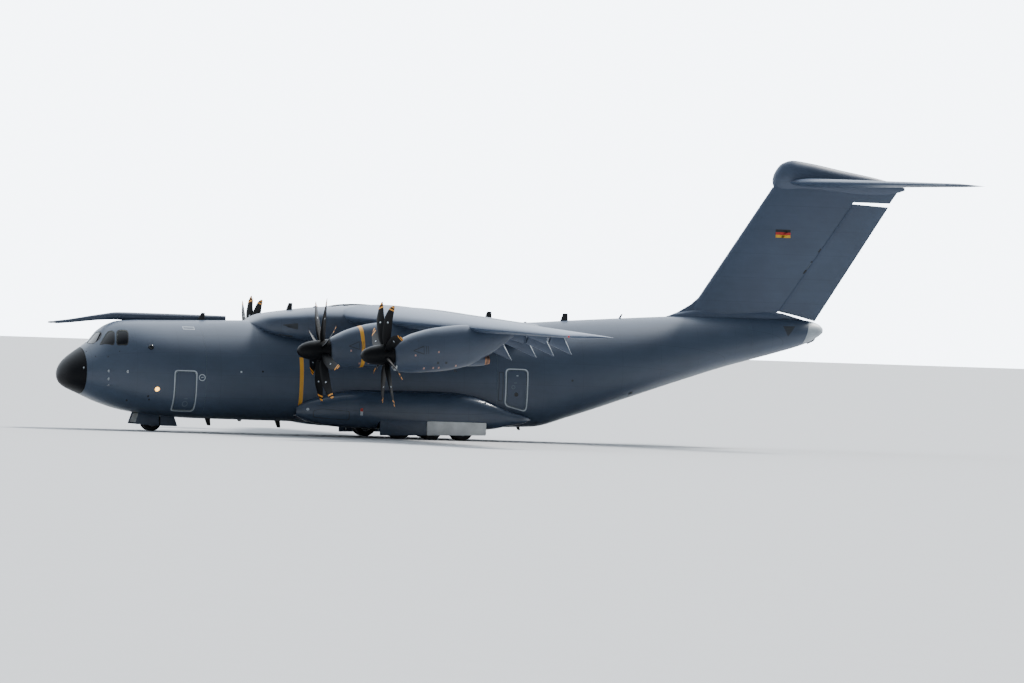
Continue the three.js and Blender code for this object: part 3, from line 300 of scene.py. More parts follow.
@dataclass(frozen=True)
class Paint(Finish):
    """Sprayed satin paint over riveted skin: faint panel seams, airflow streaks and grime.

    Real seams are 2 mm wide; they are drawn 14 mm wide on the model and faint, so that they just show.
    """

    along_mm: float = 0.0      # between seams that run round or across, 0 for none
    across_mm: float = 0.0     # between seams that run along the airflow, 0 for none
    turning: bool = False      # seams along a round body are counted by angle
    centre: Pair = (0.0, 0.0)  # the round body's axis, y and z
    seam_mm: float = 7.0       # from a seam's middle to where it has faded
    seam_depth: float = 0.22   # how much darker a seam is
    streaks: float = 0.10      # how much darker the airflow streaks go
    upright: bool = False      # a fin: the seams along the airflow are at heights
    turn_deg: float = 22.5     # between seams that are counted by angle
    radius_mm: float = 1400.0  # of the round body, near enough to turn a width into an angle

    def draw(self, tree: Tree, place: Socket, base: Socket, grain: Socket) -> tuple[Socket, Socket]:
        """Draw seams and streaks on the paint.

        Args:
            tree: the material's node tree.
            place: object coordinates.
            base: the drifting colour.
            grain: the fine noise.

        Returns:
            The colour and the height of the surface.
        """
        parts = add_node(tree, "SeparateXYZ", {0: place}).outputs
        masks = []
        if self.along_mm:
            masks.append(seam_mask(tree, parts[0], self.along_mm / 1000, self.seam_mm / 1000))
        if self.across_mm:
            masks.append(self._across(tree, parts))
        stretched = add_node(tree, "Mapping", {"Scale": (0.5, 5.0, 5.0), "Vector": place}).outputs[0]
        light = remap(tree, noise(tree, stretched, 1.6, 5.0, 0.65), (0.35, 0.75), (1.0, 1 - self.streaks))
        colour, height = scaled(tree, base, light), grain
        for mask in masks:
            colour = scaled(tree, colour, remap(tree, mask, (0.0, 1.0), (1.0, 1 - self.seam_depth)))
            height = reckon(tree, "SUBTRACT", height, mask)
        return colour, height

    def _across(self, tree: Tree, parts: Sequence[Socket]) -> Socket:
        """The seams that run along the airflow: by angle, by height or by span."""
        if not self.turning:
            value = parts[2] if self.upright else parts[1]
            return seam_mask(tree, value, self.across_mm / 1000, self.seam_mm / 1000)
        out = reckon(tree, "SUBTRACT", parts[1], self.centre[0])
        up = reckon(tree, "SUBTRACT", parts[2], self.centre[1])
        turn = reckon(tree, "ARCTAN2", out, up)
        return seam_mask(tree, turn, math.radians(self.turn_deg), self.seam_mm / self.radius_mm)


@dataclass(frozen=True)
class Rubber(Finish):
    """Vulcanised tyre rubber: matt black, dusty on its sides, with scuffed grain."""

    dust: str = "#4a4741"

    def draw(self, tree: Tree, place: Socket, base: Socket, grain: Socket) -> tuple[Socket, Socket]:
        """Lay dust on the rubber in patches.

        Args:
            tree: the material's node tree.
            place: object coordinates.
            base: the drifting colour.
            grain: the fine noise.

        Returns:
            The colour and the height of the surface.
        """
        amount = remap(tree, noise(tree, place, 9.0, 6.0), (0.5, 0.9), (0.0, 0.35))
        # The Mix node's names repeat; its colours are inputs 6 and 7 and output 2
        mixed = add_node(tree, "Mix", {"data_type": "RGBA", 0: amount, 6: base, 7: linear(self.dust)})
        return mixed.outputs[2], grain


@dataclass(frozen=True)
class HotMetal(Finish):
    """Heat-tinted nickel alloy of the exhaust: copper brown with straw and grey bands along the pipe."""

    tints: tuple[str, ...] = ("#6a554b", "#a1785f", "#83695e", "#b79580")

    def draw(self, tree: Tree, place: Socket, base: Socket, grain: Socket) -> tuple[Socket, Socket]:
        """Run the tints along the pipe.

        Args:
            tree: the material's node tree.
            place: object coordinates.
            base: the drifting colour; not used.
            grain: the fine noise.

        Returns:
            The colour and the height of the surface.
        """
        wave = add_node(tree, "TexWave", {"bands_direction": "X", "Scale": 1.1, "Distortion": 0.6,
                                          "Detail": 2.0, "Vector": place}).outputs["Fac"]
        ramp = add_node(tree, "ValToRGB", {0: wave})
        band = ramp.color_ramp
        band.elements[0].color = linear(self.tints[0])
        band.elements[1].color = linear(self.tints[-1])
        for i, tint in enumerate(self.tints[1:-1], start=1):
            band.elements.new(i / (len(self.tints) - 1)).color = linear(tint)
        return ramp.outputs["Color"], grain


@dataclass(frozen=True)
class CoatedGlass(Finish):
    """Gold-film cockpit glass: dark from outside, glossy, a little see-through."""

    clear: float = 0.25

    def shade(self, shader: bpy.types.Node) -> None:
        """Let some light through."""
        shader.inputs["Transmission Weight"].default_value = self.clear
        shader.inputs["IOR"].default_value = GLASS_IOR


@dataclass(frozen=True)
class Lamp(Finish):
    """A lens with a light behind it."""

    power: float = 1.0

    def shade(self, shader: bpy.types.Node) -> None:
        """Let the lens glow in its own colour."""
        shader.inputs["Emission Color"].default_value = linear(self.colour)
        shader.inputs["Emission Strength"].default_value = self.power


# Finishes of this aeroplane; each comment says what the material gives the eye

# Satin polyurethane on riveted aluminium: a broad soft highlight, faint seams, streaks with the airflow
FUSELAGE_PAINT = Paint("satin_grey_blue_fuselage_paint", "#384557", roughness=0.42, along_mm=1050,
                       across_mm=400, turning=True, centre=(0.0, 1.45))
# The same paint on smooth carbon skins, painted lighter than the fuselage to stand in for the light that
# skins facing the sky catch: painted light; seams only one way
WING_PAINT = Paint("satin_grey_blue_wing_paint", "#465367", roughness=0.42, across_mm=760)
TAIL_PAINT = Paint("satin_grey_blue_tail_paint", "#404d61", roughness=0.44, across_mm=620, upright=True)
# Freshly rubbed paint on the sponsons: glossier, so that their shoulders catch a bright streak
SPONSON_PAINT = Paint("glossy_grey_blue_sponson_paint", "#384557", roughness=0.24, along_mm=1050,
                      across_mm=400, turning=True, centre=(0.0, 1.45))
# Thin paint on laminate cowls: a little more sheen, seams across only
COWL_PAINT = Paint("satin_grey_blue_cowl_paint", "#3a4658", roughness=0.40, along_mm=640)
# The same paint on parts too small for seams
PLAIN_PAINT = Paint("satin_grey_blue_plain_paint", "#3b4758", roughness=0.44)
# Dark grey paint: thin matt lines that draw the joints of hatches, and dark patches over inlets and on the
# tail cone that stand in for shade in openings and a cast shadow: painted shade
DARK_PAINT = Paint("dark_grey_rubbing_strip_paint", "#2b3036", roughness=0.55)
# A soft rubbery coat: the nose reads as one near-black shape with hardly a highlight
RADOME_COAT = Finish("black_rain_erosion_coat", "#04050a", roughness=0.5, mirror=0.12, drift=0.15)
# A tough skin on carbon blades: near black, a shade glossier than the nose
BLADE_COAT = Finish("black_blade_polyurethane", "#040508", roughness=0.45, mirror=0.14, drift=0.12)
# Warning paints: the few warm spots on a cold grey body
TIP_PAINT = Finish("orange_yellow_tip_paint", "#d98f1f", roughness=0.45)
STRIPE_PAINT = Finish("warm_yellow_stripe_paint", "#c9912a", roughness=0.45, drift=0.12, drift_mm=300)
# Stencil paint: chalky and patchy, and nearly worn away where boots and hands pass; the pale one also lights
# the upward faces of the flap track fairings' tails: painted highlight
MARKS_AND_PAINTED_HIGHLIGHT = Finish("pale_grey_marking_paint", "#aab2b8", roughness=0.5, drift=0.12, drift_mm=250)
FAINT_PAINT = Finish("worn_grey_marking_paint", "#5c6670", roughness=0.55, drift=0.12, drift_mm=250)
# Red paint bleached by the sun: small pinkish dots on the cowls
CAP_PINK = Finish("faded_red_drain_cap_paint", "#a8857c", roughness=0.55)
# Pale paint on the tail's tip that stands in for sunlight on the cone's end: painted light, pale and even
TIP_PALE = Finish("pale_grey_tail_tip_laminate", "#9aa2a8", roughness=0.5, drift=0.1, drift_mm=300)
# Flat patch paints: clean strong colours without wear
RED_PAINT = Finish("red_marking_paint", "#a8352c", roughness=0.5)
PATCH_BLACK = Finish("black_patch_paint", "#17181a", roughness=0.5)
PATCH_RED = Finish("bright_red_patch_paint", "#b3261d", roughness=0.5)
PATCH_GOLD = Finish("gold_patch_paint", "#d9a51c", roughness=0.5)
# Primer on the inside of the skins: a pale green where a gap lets the eye in
LINING = Finish("pale_green_epoxy_primer", "#8f9a8c", roughness=0.6, drift=0.14, drift_mm=400)
# Bay enamel: pale, so that ribs and legs show in the shade; on the rear main gear door panels the same white
# stands in for sunlight on the door's outside: painted light
BAY_WHITE_AND_PAINTED_SUNLIGHT = Finish("white_bay_enamel", "#c3c7c8", roughness=0.45, drift=0.15, drift_mm=300)
# Leg enamel under a clear coat: crisp highlights along the round struts
GEAR_WHITE = Finish("pale_grey_gear_enamel", "#b9bec0", roughness=0.35, coat=0.2, drift=0.12, drift_mm=200)
# Ground chrome: a narrow bright mirror between dull cylinders
ROD_CHROME = Finish("hard_chrome_piston", "#c8ccd0", roughness=0.12, metallic=1.0, drift=0.04)
# Brushed steel: soft grey glints on pins, pipes and probes
STEEL = Finish("brushed_stainless_steel", "#8e9296", roughness=0.35, metallic=1.0, drift=0.1, drift_mm=200)
# Painted rims under brake dust: an uneven middle grey
RIM_PAINT = Finish("pale_grey_forged_rim_paint", "#8d9296", roughness=0.38, drift=0.2, drift_mm=120)
# Tyre rubber: dark and matt, with dusty sides
TYRE = Rubber("vulcanised_tyre_rubber", "#17181a", roughness=0.82, drift=0.15, drift_mm=200, grain=0.12)
# Seals: thin dull black lines round glass and doors
SEAL = Finish("black_rubber_seal", "#121314", roughness=0.7)
# Exhaust alloy: bands of copper and straw where the heat has tinted it
NOZZLE = HotMetal("heat_tinted_nickel_alloy", "#8a6c5c", roughness=0.42, metallic=1.0, drift_mm=200)
# Near-black paint inside the ducts and on one dot of the forward skin: painted shade, so that an inlet looks
# deep
DUCT_SHADE_BLACK = Finish("black_painted_duct_shade", "#0b0c0d", roughness=0.75)
# Film-coated glass over a dark cabin: almost black, with a sharp reflection of the sky
GLASS = CoatedGlass("coated_cockpit_glass", "#05080f", roughness=0.06, mirror=0.3, clear=0.05, drift=0.05,
                    grain=0.0)
# Lit lamps: the landing lamps glow warm, the position lights only a little in their own colour
WARM_LAMP = Lamp("warm_landing_lamp", "#ffc25c", roughness=0.15, power=4.5, grain=0.0)
RED_LENS = Lamp("red_position_lens", "#b01812", roughness=0.1, power=0.3, grain=0.0)
GREEN_LENS = Lamp("green_position_lens", "#13803a", roughness=0.1, power=0.3, grain=0.0)
# Grit in thick deck paint: dull, rough and stained
DECK = Finish("grey_non_slip_deck_paint", "#54595c", roughness=0.8, drift=0.18, drift_mm=300, grain=0.3)
# Black lacquer and laminate: plain satin black
PANEL_BLACK = Finish("black_instrument_panel_lacquer", "#1b1d20", roughness=0.5)
ANTENNA_BLACK = Finish("black_antenna_laminate", "#16181a", roughness=0.45)


# Mesh building

def grow(bm: Mesh, verts: Sequence[bmesh.types.BMVert]) -> Faces:
    """Weld new points, close their open ends and point the faces outwards.

    Args:
        bm: the mesh.
        verts: the new points.

    Returns:
        The new faces.
    """
    bmesh.ops.remove_doubles(bm, verts=list(verts), dist=WELD)
    kept = [v for v in verts if v.is_valid]
    rims = {e for v in kept for e in v.link_edges if e.is_boundary}
    bmesh.ops.holes_fill(bm, edges=list(rims), sides=0)
    faces = list({f for v in kept for f in v.link_faces})
    bmesh.ops.recalc_face_normals(bm, faces=faces)
    return faces


def loft(bm: Mesh, rings: Sequence[Ring]) -> Faces:
    """Bend a grid over closed rings that have the same number of points, and close its ends.

    Args:
        bm: the mesh that gets the body.
        rings: the rings in turn, in model metres.

    Returns:
        The new faces.
    """
    around, along = len(rings[0]), len(rings) - 1
    grid = bmesh.ops.create_grid(bm, x_segments=around, y_segments=along, size=1)["verts"]
    for vert in grid:
        i = round((vert.co.x + 1) / 2 * around) % around
        k = round((vert.co.y + 1) / 2 * along)
        vert.co = rings[k][i]
    return grow(bm, grid)


def bent_sheet(bm: Mesh, form: Callable[[float, float], Vector], u: Pair, v: Pair,
               counts: tuple[int, int], thickness: float) -> Faces:
    """A thin curved plate over a form.

    Args:
        bm: the mesh that gets the plate.
        form: gives the place for each pair of parameters.
        u, v: the ranges of the parameters.
        counts: the number of faces each way.
        thickness: behind the form's side; negative the other way.

    Returns:
        The new faces.
    """
    grid = bmesh.ops.create_grid(bm, x_segments=counts[0], y_segments=counts[1], size=1)["verts"]
    for vert in grid:
        vert.co = form(mix(*u, (vert.co.x + 1) / 2), mix(*v, (vert.co.y + 1) / 2))
    faces = list({f for vert in grid for f in vert.link_faces})
    made = bmesh.ops.solidify(bm, geom=faces, thickness=size(thickness))["geom"]
    faces += [f for f in made if isinstance(f, bmesh.types.BMFace)]
    faces = list({f for face in faces for vert in face.verts for f in vert.link_faces})
    bmesh.ops.recalc_face_normals(bm, faces=faces)
    return faces


def rod(bm: Mesh, start: Vector, end: Vector, radius: float, end_radius: float | None = None,
        sides: int = 20) -> Faces:
    """A round rod between two places.

    Args:
        bm: the mesh that gets the rod.
        start, end: the places, in model metres.
        radius, end_radius: at the two ends.
        sides: faces round the rod.

    Returns:
        The new faces.
    """
    along = end - start
    turn = Vector((0, 0, 1)).rotation_difference(along).to_matrix().to_4x4()
    place = Matrix.Translation((start + end) / 2) @ turn
    made = bmesh.ops.create_cone(bm, cap_ends=True, segments=sides, radius1=size(radius),
                                 radius2=size(radius if end_radius is None else end_radius),
                                 depth=along.length, matrix=place)["verts"]
    return list({f for v in made for f in v.link_faces})


def turned(bm: Mesh, profile: Outline, centre: Vector, axis: Vector,
           sides: int = 40) -> Faces:
    """Spin a profile about an axis.

    Args:
        bm: the mesh that gets the body.
        profile: pairs of distance along the axis and radius.
        centre: where distance 0 lies, in model metres.
        axis: the axis, of length 1.
        sides: faces round the body.

    Returns:
        The new faces.
    """
    out = axis.orthogonal().normalized()
    points = [bm.verts.new(centre + axis * size(along) + out * size(radius)) for along, radius in profile]
    edges = [bm.edges.new(pair) for pair in zip(points, points[1:])]
    made = bmesh.ops.spin(bm, geom=[*points, *edges], cent=centre, axis=axis, dvec=(0, 0, 0),
                          angle=math.tau, steps=sides, use_merge=True, use_duplicate=False)
    verts = {v for g in made["geom_last"] for v in getattr(g, "verts", [g])} | set(points)
    reached: set[bmesh.types.BMVert] = set()
    front = [v for v in verts if v.is_valid]
    while front:
        reached.update(front)
        front = [e.other_vert(v) for v in front for e in v.link_edges if e.other_vert(v) not in reached]
    return grow(bm, list(reached))


def wick(bm: Mesh, root: Vector, aft: float, drop: float) -> None:
    """A static wick, a thin rod that trails from an edge."""
    rod(bm, root, root + Vector((size(aft), 0, -size(drop))), 0.008, 0.004, 6)


def plate(bm: Mesh, outline: Ring, depth: Vector, bevel: float = 0.0) -> Faces:
    """A flat plate from its outline, with softened edges.

    Args:
        bm: the mesh that gets the plate.
        outline: the corners in turn, in model metres.
        depth: from the outline's face to the other one, in model metres.
        bevel: width of the softened edges.

    Returns:
        The new faces.
    """
    before = set(bm.faces)
    verts = [bm.verts.new(p) for p in outline]
    face = bm.faces.new(verts)
    made = bmesh.ops.extrude_face_region(bm, geom=[face], use_keep_orig=True)["geom"]
    other = [g for g in made if isinstance(g, bmesh.types.BMVert)]
    bmesh.ops.translate(bm, verts=other, vec=depth)
    faces = list({f for v in [*verts, *other] for f in v.link_faces})
    bmesh.ops.recalc_face_normals(bm, faces=faces)
    if bevel:
        edges = list({e for f in faces for e in f.edges})
        bmesh.ops.bevel(bm, geom=edges, offset=size(bevel), affect="EDGES", segments=2, profile=0.5,
                        material=-1)
    return [f for f in bm.faces if f not in before]


def paint_faces(faces: Faces, index: int) -> None:
    """Give faces the finish with a number in their piece's list."""
    for face in faces:
        face.material_index = index


def rounded(corners: Outline, radius: float) -> list[Pair]:
    """Round the corners of an outline.

    Args:
        corners: the outline's corners in turn.
        radius: how far from a corner the round begins.

    Returns:
        The rounded outline.
    """
    points = []
    for i, corner in enumerate(corners):
        ends = []
        for other in (corners[i - 1], corners[(i + 1) % len(corners)]):
            length = math.dist(corner, other)
            share = min(radius / length, 0.45)
            ends.append((mix(corner[0], other[0], share), mix(corner[1], other[1], share)))
        (ax, ay), (bx, by) = ends
        for t in steps(0, 1, CORNER_STEPS):
            points.append(((1 - t) ** 2 * ax + 2 * t * (1 - t) * corner[0] + t * t * bx,
                           (1 - t) ** 2 * ay + 2 * t * (1 - t) * corner[1] + t * t * by))
    return points


def finer(outline: Outline, longest: float) -> list[Pair]:
    """Put points on an outline's long edges.

    Args:
        outline: its points in turn.
        longest: the longest edge that stays.

    Returns:
        The outline with more points.
    """
    points = []
    for a, b in zip(outline, [*outline[1:], outline[0]]):
        count = max(1, math.ceil(math.dist(a, b) / longest))
        points += [(mix(a[0], b[0], i / count), mix(a[1], b[1], i / count)) for i in range(count)]
    return points


def box(x0: float, x1: float, z0: float, z1: float) -> list[Pair]:
    """The corners of a rectangle in turn."""
    return [(x0, z0), (x1, z0), (x1, z1), (x0, z1)]


def circle(x: float, z: float, radius: float, count: int = 12) -> list[Pair]:
    """A round outline."""
    return [(x + radius * math.cos(t), z + radius * math.sin(t)) for t in angles(count)]


def inset_outline(outline: Outline, gap: float) -> list[Pair]:
    """Shrink a convex outline by a gap all round, or widen it by a negative one.

    Args:
        outline: its points in turn.
        gap: how far each point moves towards the middle, both ways.

    Returns:
        The smaller outline.
    """
    middle = [sum(p[i] for p in outline) / len(outline) for i in (0, 1)]
    half = [max(abs(p[i] - middle[i]) for p in outline) for i in (0, 1)]
    return [tuple(middle[i] + (p[i] - middle[i]) * (1 - gap / half[i]) for i in (0, 1)) for p in outline]


def within(outline: Outline, point: Pair) -> bool:
    """Whether a point lies inside an outline."""
    inside = False
    for (x0, y0), (x1, y1) in zip(outline, [*outline[1:], outline[0]]):
        if (y0 > point[1]) != (y1 > point[1]) and point[0] < (x1 - x0) * (point[1] - y0) / (y1 - y0) + x0:
            inside = not inside
    return inside


def cut_flat(bm: Mesh, outline: Outline) -> Faces:
    """Cut a flat sheet along a closed outline, without removing anything.

    Args:
        bm: the sheet, flat in x and y.
        outline: the outline's points in turn.

    Returns:
        The faces inside the outline.
    """
    def meets(face: bmesh.types.BMFace, points: Outline) -> bool:
        """Whether a face's box meets the points' box."""
        for i in (0, 1):
            low, high = min(v.co[i] for v in face.verts), max(v.co[i] for v in face.verts)
            if high < min(p[i] for p in points) - CUT_REACH or low > max(p[i] for p in points) + CUT_REACH:
                return False
        return True

    region = {f for f in bm.faces if meets(f, outline)}
    for a, b in zip(outline, [*outline[1:], outline[0]]):
        faces = [f for f in region if meets(f, (a, b))]
        parts = {g for f in faces for g in (f, *f.edges, *f.verts)}
        made = bmesh.ops.bisect_plane(bm, geom=list(parts), dist=CUT_SNAP, plane_co=(*a, 0),
                                      plane_no=(b[1] - a[1], a[0] - b[0], 0))["geom"]
        region.difference_update(faces)
        region.update(g for g in made if isinstance(g, bmesh.types.BMFace))
    return [f for f in region if within(outline, f.calc_center_median()[:2])]


def piece(name: str, bm: Mesh, finishes: Sequence[Finish], body: str,
          replaces: Sequence[str] = (), smooth_below: float = SMOOTH_BELOW) -> bpy.types.Object:
    """Make a finished piece from a mesh and tell the frame what it is.

    Args:
        name: the piece's name.
        bm: its mesh, which is freed.
        finishes: its finishes, in the order of the faces' numbers.
        body: the body it rides on.
        replaces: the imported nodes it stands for.
        smooth_below: the edges sharper than this, in degrees, stay sharp.

    Returns:
        The new object.
    """
    mesh = bpy.data.meshes.new(name)
    bm.to_mesh(mesh)
    bm.free()
    mesh.shade_smooth()
    mesh.set_sharp_from_angle(angle=math.radians(smooth_below))
    for finish in finishes:
        mesh.materials.append(finish.material())
    made = bpy.data.objects.new(name, mesh)
    bpy.context.scene.collection.objects.link(made)
    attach(made, body)
    if replaces:
        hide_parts(*replaces)
    log.info("%s: %d faces on %s", name, len(mesh.polygons), body)
    return made


# Fuselage

@dataclass(frozen=True)
class Hull:
    """The fuselage's outer form: a round crown over a squared-off belly."""

    # x, half width, crown, widest height, keel, fullness of the belly
    table: Table = Table((
        (-0.04, 0.05, 2.76, 2.70, 2.64, 2.0), (0.10, 0.60, 3.18, 2.70, 2.26, 2.0),
        (0.35, 1.00, 3.48, 2.72, 2.06, 2.1), (0.70, 1.32, 3.77, 2.75, 1.90, 2.2),
        (1.10, 1.60, 4.05, 2.80, 1.74, 2.3), (1.50, 1.83, 4.36, 2.84, 1.57, 2.4),
        (2.00, 2.06, 4.94, 2.88, 1.37, 2.5), (2.40, 2.22, 5.22, 2.90, 1.24, 2.6),
        (3.00, 2.42, 5.43, 2.92, 1.07, 2.8), (4.00, 2.64, 5.50, 2.90, 0.89, 3.0),
        (5.20, 2.77, 5.53, 2.85, 0.77, 3.2), (6.90, 2.82, 5.58, 2.80, 0.69, 3.4),
        (12.60, 2.82, 5.73, 2.85, 0.68, 3.4), (22.00, 2.82, 5.92, 2.95, 0.68, 3.4),
        (24.40, 2.81, 6.02, 3.05, 0.75, 3.3), (26.30, 2.74, 6.17, 3.35, 1.27, 3.0),
        (29.40, 2.52, 6.40, 3.95, 2.31, 2.7), (32.20, 2.15, 6.58, 4.60, 3.26, 2.5),
        (34.80, 1.70, 6.67, 5.15, 4.10, 2.3), (35.90, 1.47, 6.68, 5.36, 4.41, 2.25),
        (37.40, 1.16, 6.68, 5.65, 4.83, 2.2), (39.20, 0.66, 6.60, 5.95, 5.40, 2.1),
        (39.90, 0.36, 6.42, 6.08, 5.78, 2.0), (40.12, 0.14, 6.24, 6.10, 5.96, 2.0),
    ), warp=lambda x: math.sqrt(x + 0.0401))

    def point(self, x: float, turn: float, inset: float = 0.0) -> Vector:
        """A place on the hull.

        Args:
            x: how far aft.
            turn: angle round the hull from the crown over the right side, in radians.
            inset: how far inside the skin.

        Returns:
            The model place.
        """
        half, crown, waist, keel, fullness = self.table.at(x)
        s, c = math.sin(turn), math.cos(turn)
        if c >= 0:
            return at(x, (half - inset) * s, waist + (crown - inset - waist) * c)
        y, z = power(s, 2 / fullness), abs(c) ** (2 / fullness)
        return at(x, (half - inset) * y, waist - (waist - keel - inset) * z)

    def turn_at_height(self, x: float, z: float, side: Side) -> float:
        """The angle round the hull of a height on one side.

        Args:
            x, z: the place in side view.
            side: which side.

        Returns:
            The angle, in radians.
        """
        _, crown, waist, keel, fullness = self.table.at(x)
        if z >= waist:
            turn = math.acos(min(1.0, (z - waist) / (crown - waist)))
        else:
            turn = math.acos(-min(1.0, (waist - z) / (waist - keel)) ** (fullness / 2))
        return turn if side is Side.RIGHT else math.tau - turn

    def turn_below(self, x: float, y: float) -> float:
        """The angle round the hull of a place in the belly's plan view."""
        half, _, _, _, fullness = self.table.at(x)
        return math.pi - math.copysign(math.asin(min(1.0, abs(y) / half) ** (fullness / 2)), y)

    def keel(self, x: float) -> float:
        """The keel's height."""
        return self.table.at(x)[3]

    def half_width(self, x: float, z: float) -> float:
        """Half the hull's width at a height, 0 above or below it."""
        half, crown, waist, keel, fullness = self.table.at(x)
        if z >= waist:
            return half * math.sqrt(max(0.0, 1 - ((z - waist) / (crown - waist)) ** 2))
        share = min(1.0, (waist - z) / (waist - keel))
        return half * (1 - share ** fullness) ** (1 / fullness)

    def on_side(self, outline: Outline, side: Side) -> list[Pair]:
        """An outline in side view, as places on the flat skin."""
        return [(x, self.turn_at_height(x, z, side)) for x, z in finer(outline, SIDE_EDGE)]

    def on_belly(self, outline: Outline) -> list[Pair]:
        """An outline in plan view, as places on the flat skin of the belly."""
        return [(x, self.turn_below(x, y)) for x, y in finer(outline, BELLY_EDGE)]


HULL = Hull()


@dataclass
class Skin:
    """A stretch of skin: cut and painted in the flat, then bent to its form and given its wall."""

    x0: float
    x1: float
    low: float = 0.0
    high: float = math.tau
    cell: float = 0.28
    around: int = 96
    form: Callable[..., Vector] = HULL.point
    bm: Mesh = field(default_factory=bmesh.new)

    def __post_init__(self) -> None:
        """Lay out the flat grid."""
        counts = (math.ceil((self.x1 - self.x0) / self.cell),
                  math.ceil((self.high - self.low) / math.tau * self.around))
        bmesh.ops.create_grid(self.bm, x_segments=max(3, counts[0]), y_segments=counts[1], size=1)
        for vert in self.bm.verts:
            vert.co = (mix(self.x0, self.x1, (vert.co.x + 1) / 2),
                       mix(self.low, self.high, (vert.co.y + 1) / 2), 0)

    def cut_out(self, outline: Outline) -> None:
        """Open a hole."""
        bmesh.ops.delete(self.bm, geom=cut_flat(self.bm, outline), context="FACES")

    def keep_only(self, outline: Outline) -> None:
        """Drop everything outside an outline."""
        inside = set(cut_flat(self.bm, outline))
        bmesh.ops.delete(self.bm, geom=[f for f in self.bm.faces if f not in inside], context="FACES")

    def mark(self, outline: Outline, index: int) -> None:
        """Paint an area with another finish."""
        paint_faces(cut_flat(self.bm, outline), index)

    def band(self, outer: Outline, inner: Outline, index: int) -> None:
        """Paint the strip between two outlines with another finish."""
        cut_flat(self.bm, outer)
        hole = set(cut_flat(self.bm, inner))
        strip = [f for f in self.bm.faces if f not in hole and within(outer, f.calc_center_median()[:2])]
        paint_faces(strip, index)

    def line(self, shape: Outline, wide: float, side: Side, index: int) -> None:
        """Paint a line just inside an outline in side view."""
        self.band(HULL.on_side(shape, side), HULL.on_side(inset_outline(shape, wide), side), index)

    def bend(self, *inset: float) -> None:
        """Bend the flat sheet to its form."""
        for vert in self.bm.verts:
            vert.co = self.form(vert.co.x, vert.co.y, *inset)
        bmesh.ops.remove_doubles(self.bm, verts=self.bm.verts, dist=WELD)
        self.bm.normal_update()

    def thicken(self, wall: float, index: int) -> None:
        """Give the skin an inner face and rims.

        Args:
            wall: thickness on the real aeroplane.
            index: the finish of the new faces.
        """
        outer = set(self.bm.faces)
        bmesh.ops.solidify(self.bm, geom=list(outer), thickness=size(wall))
        paint_faces([f for f in self.bm.faces if f not in outer], index)


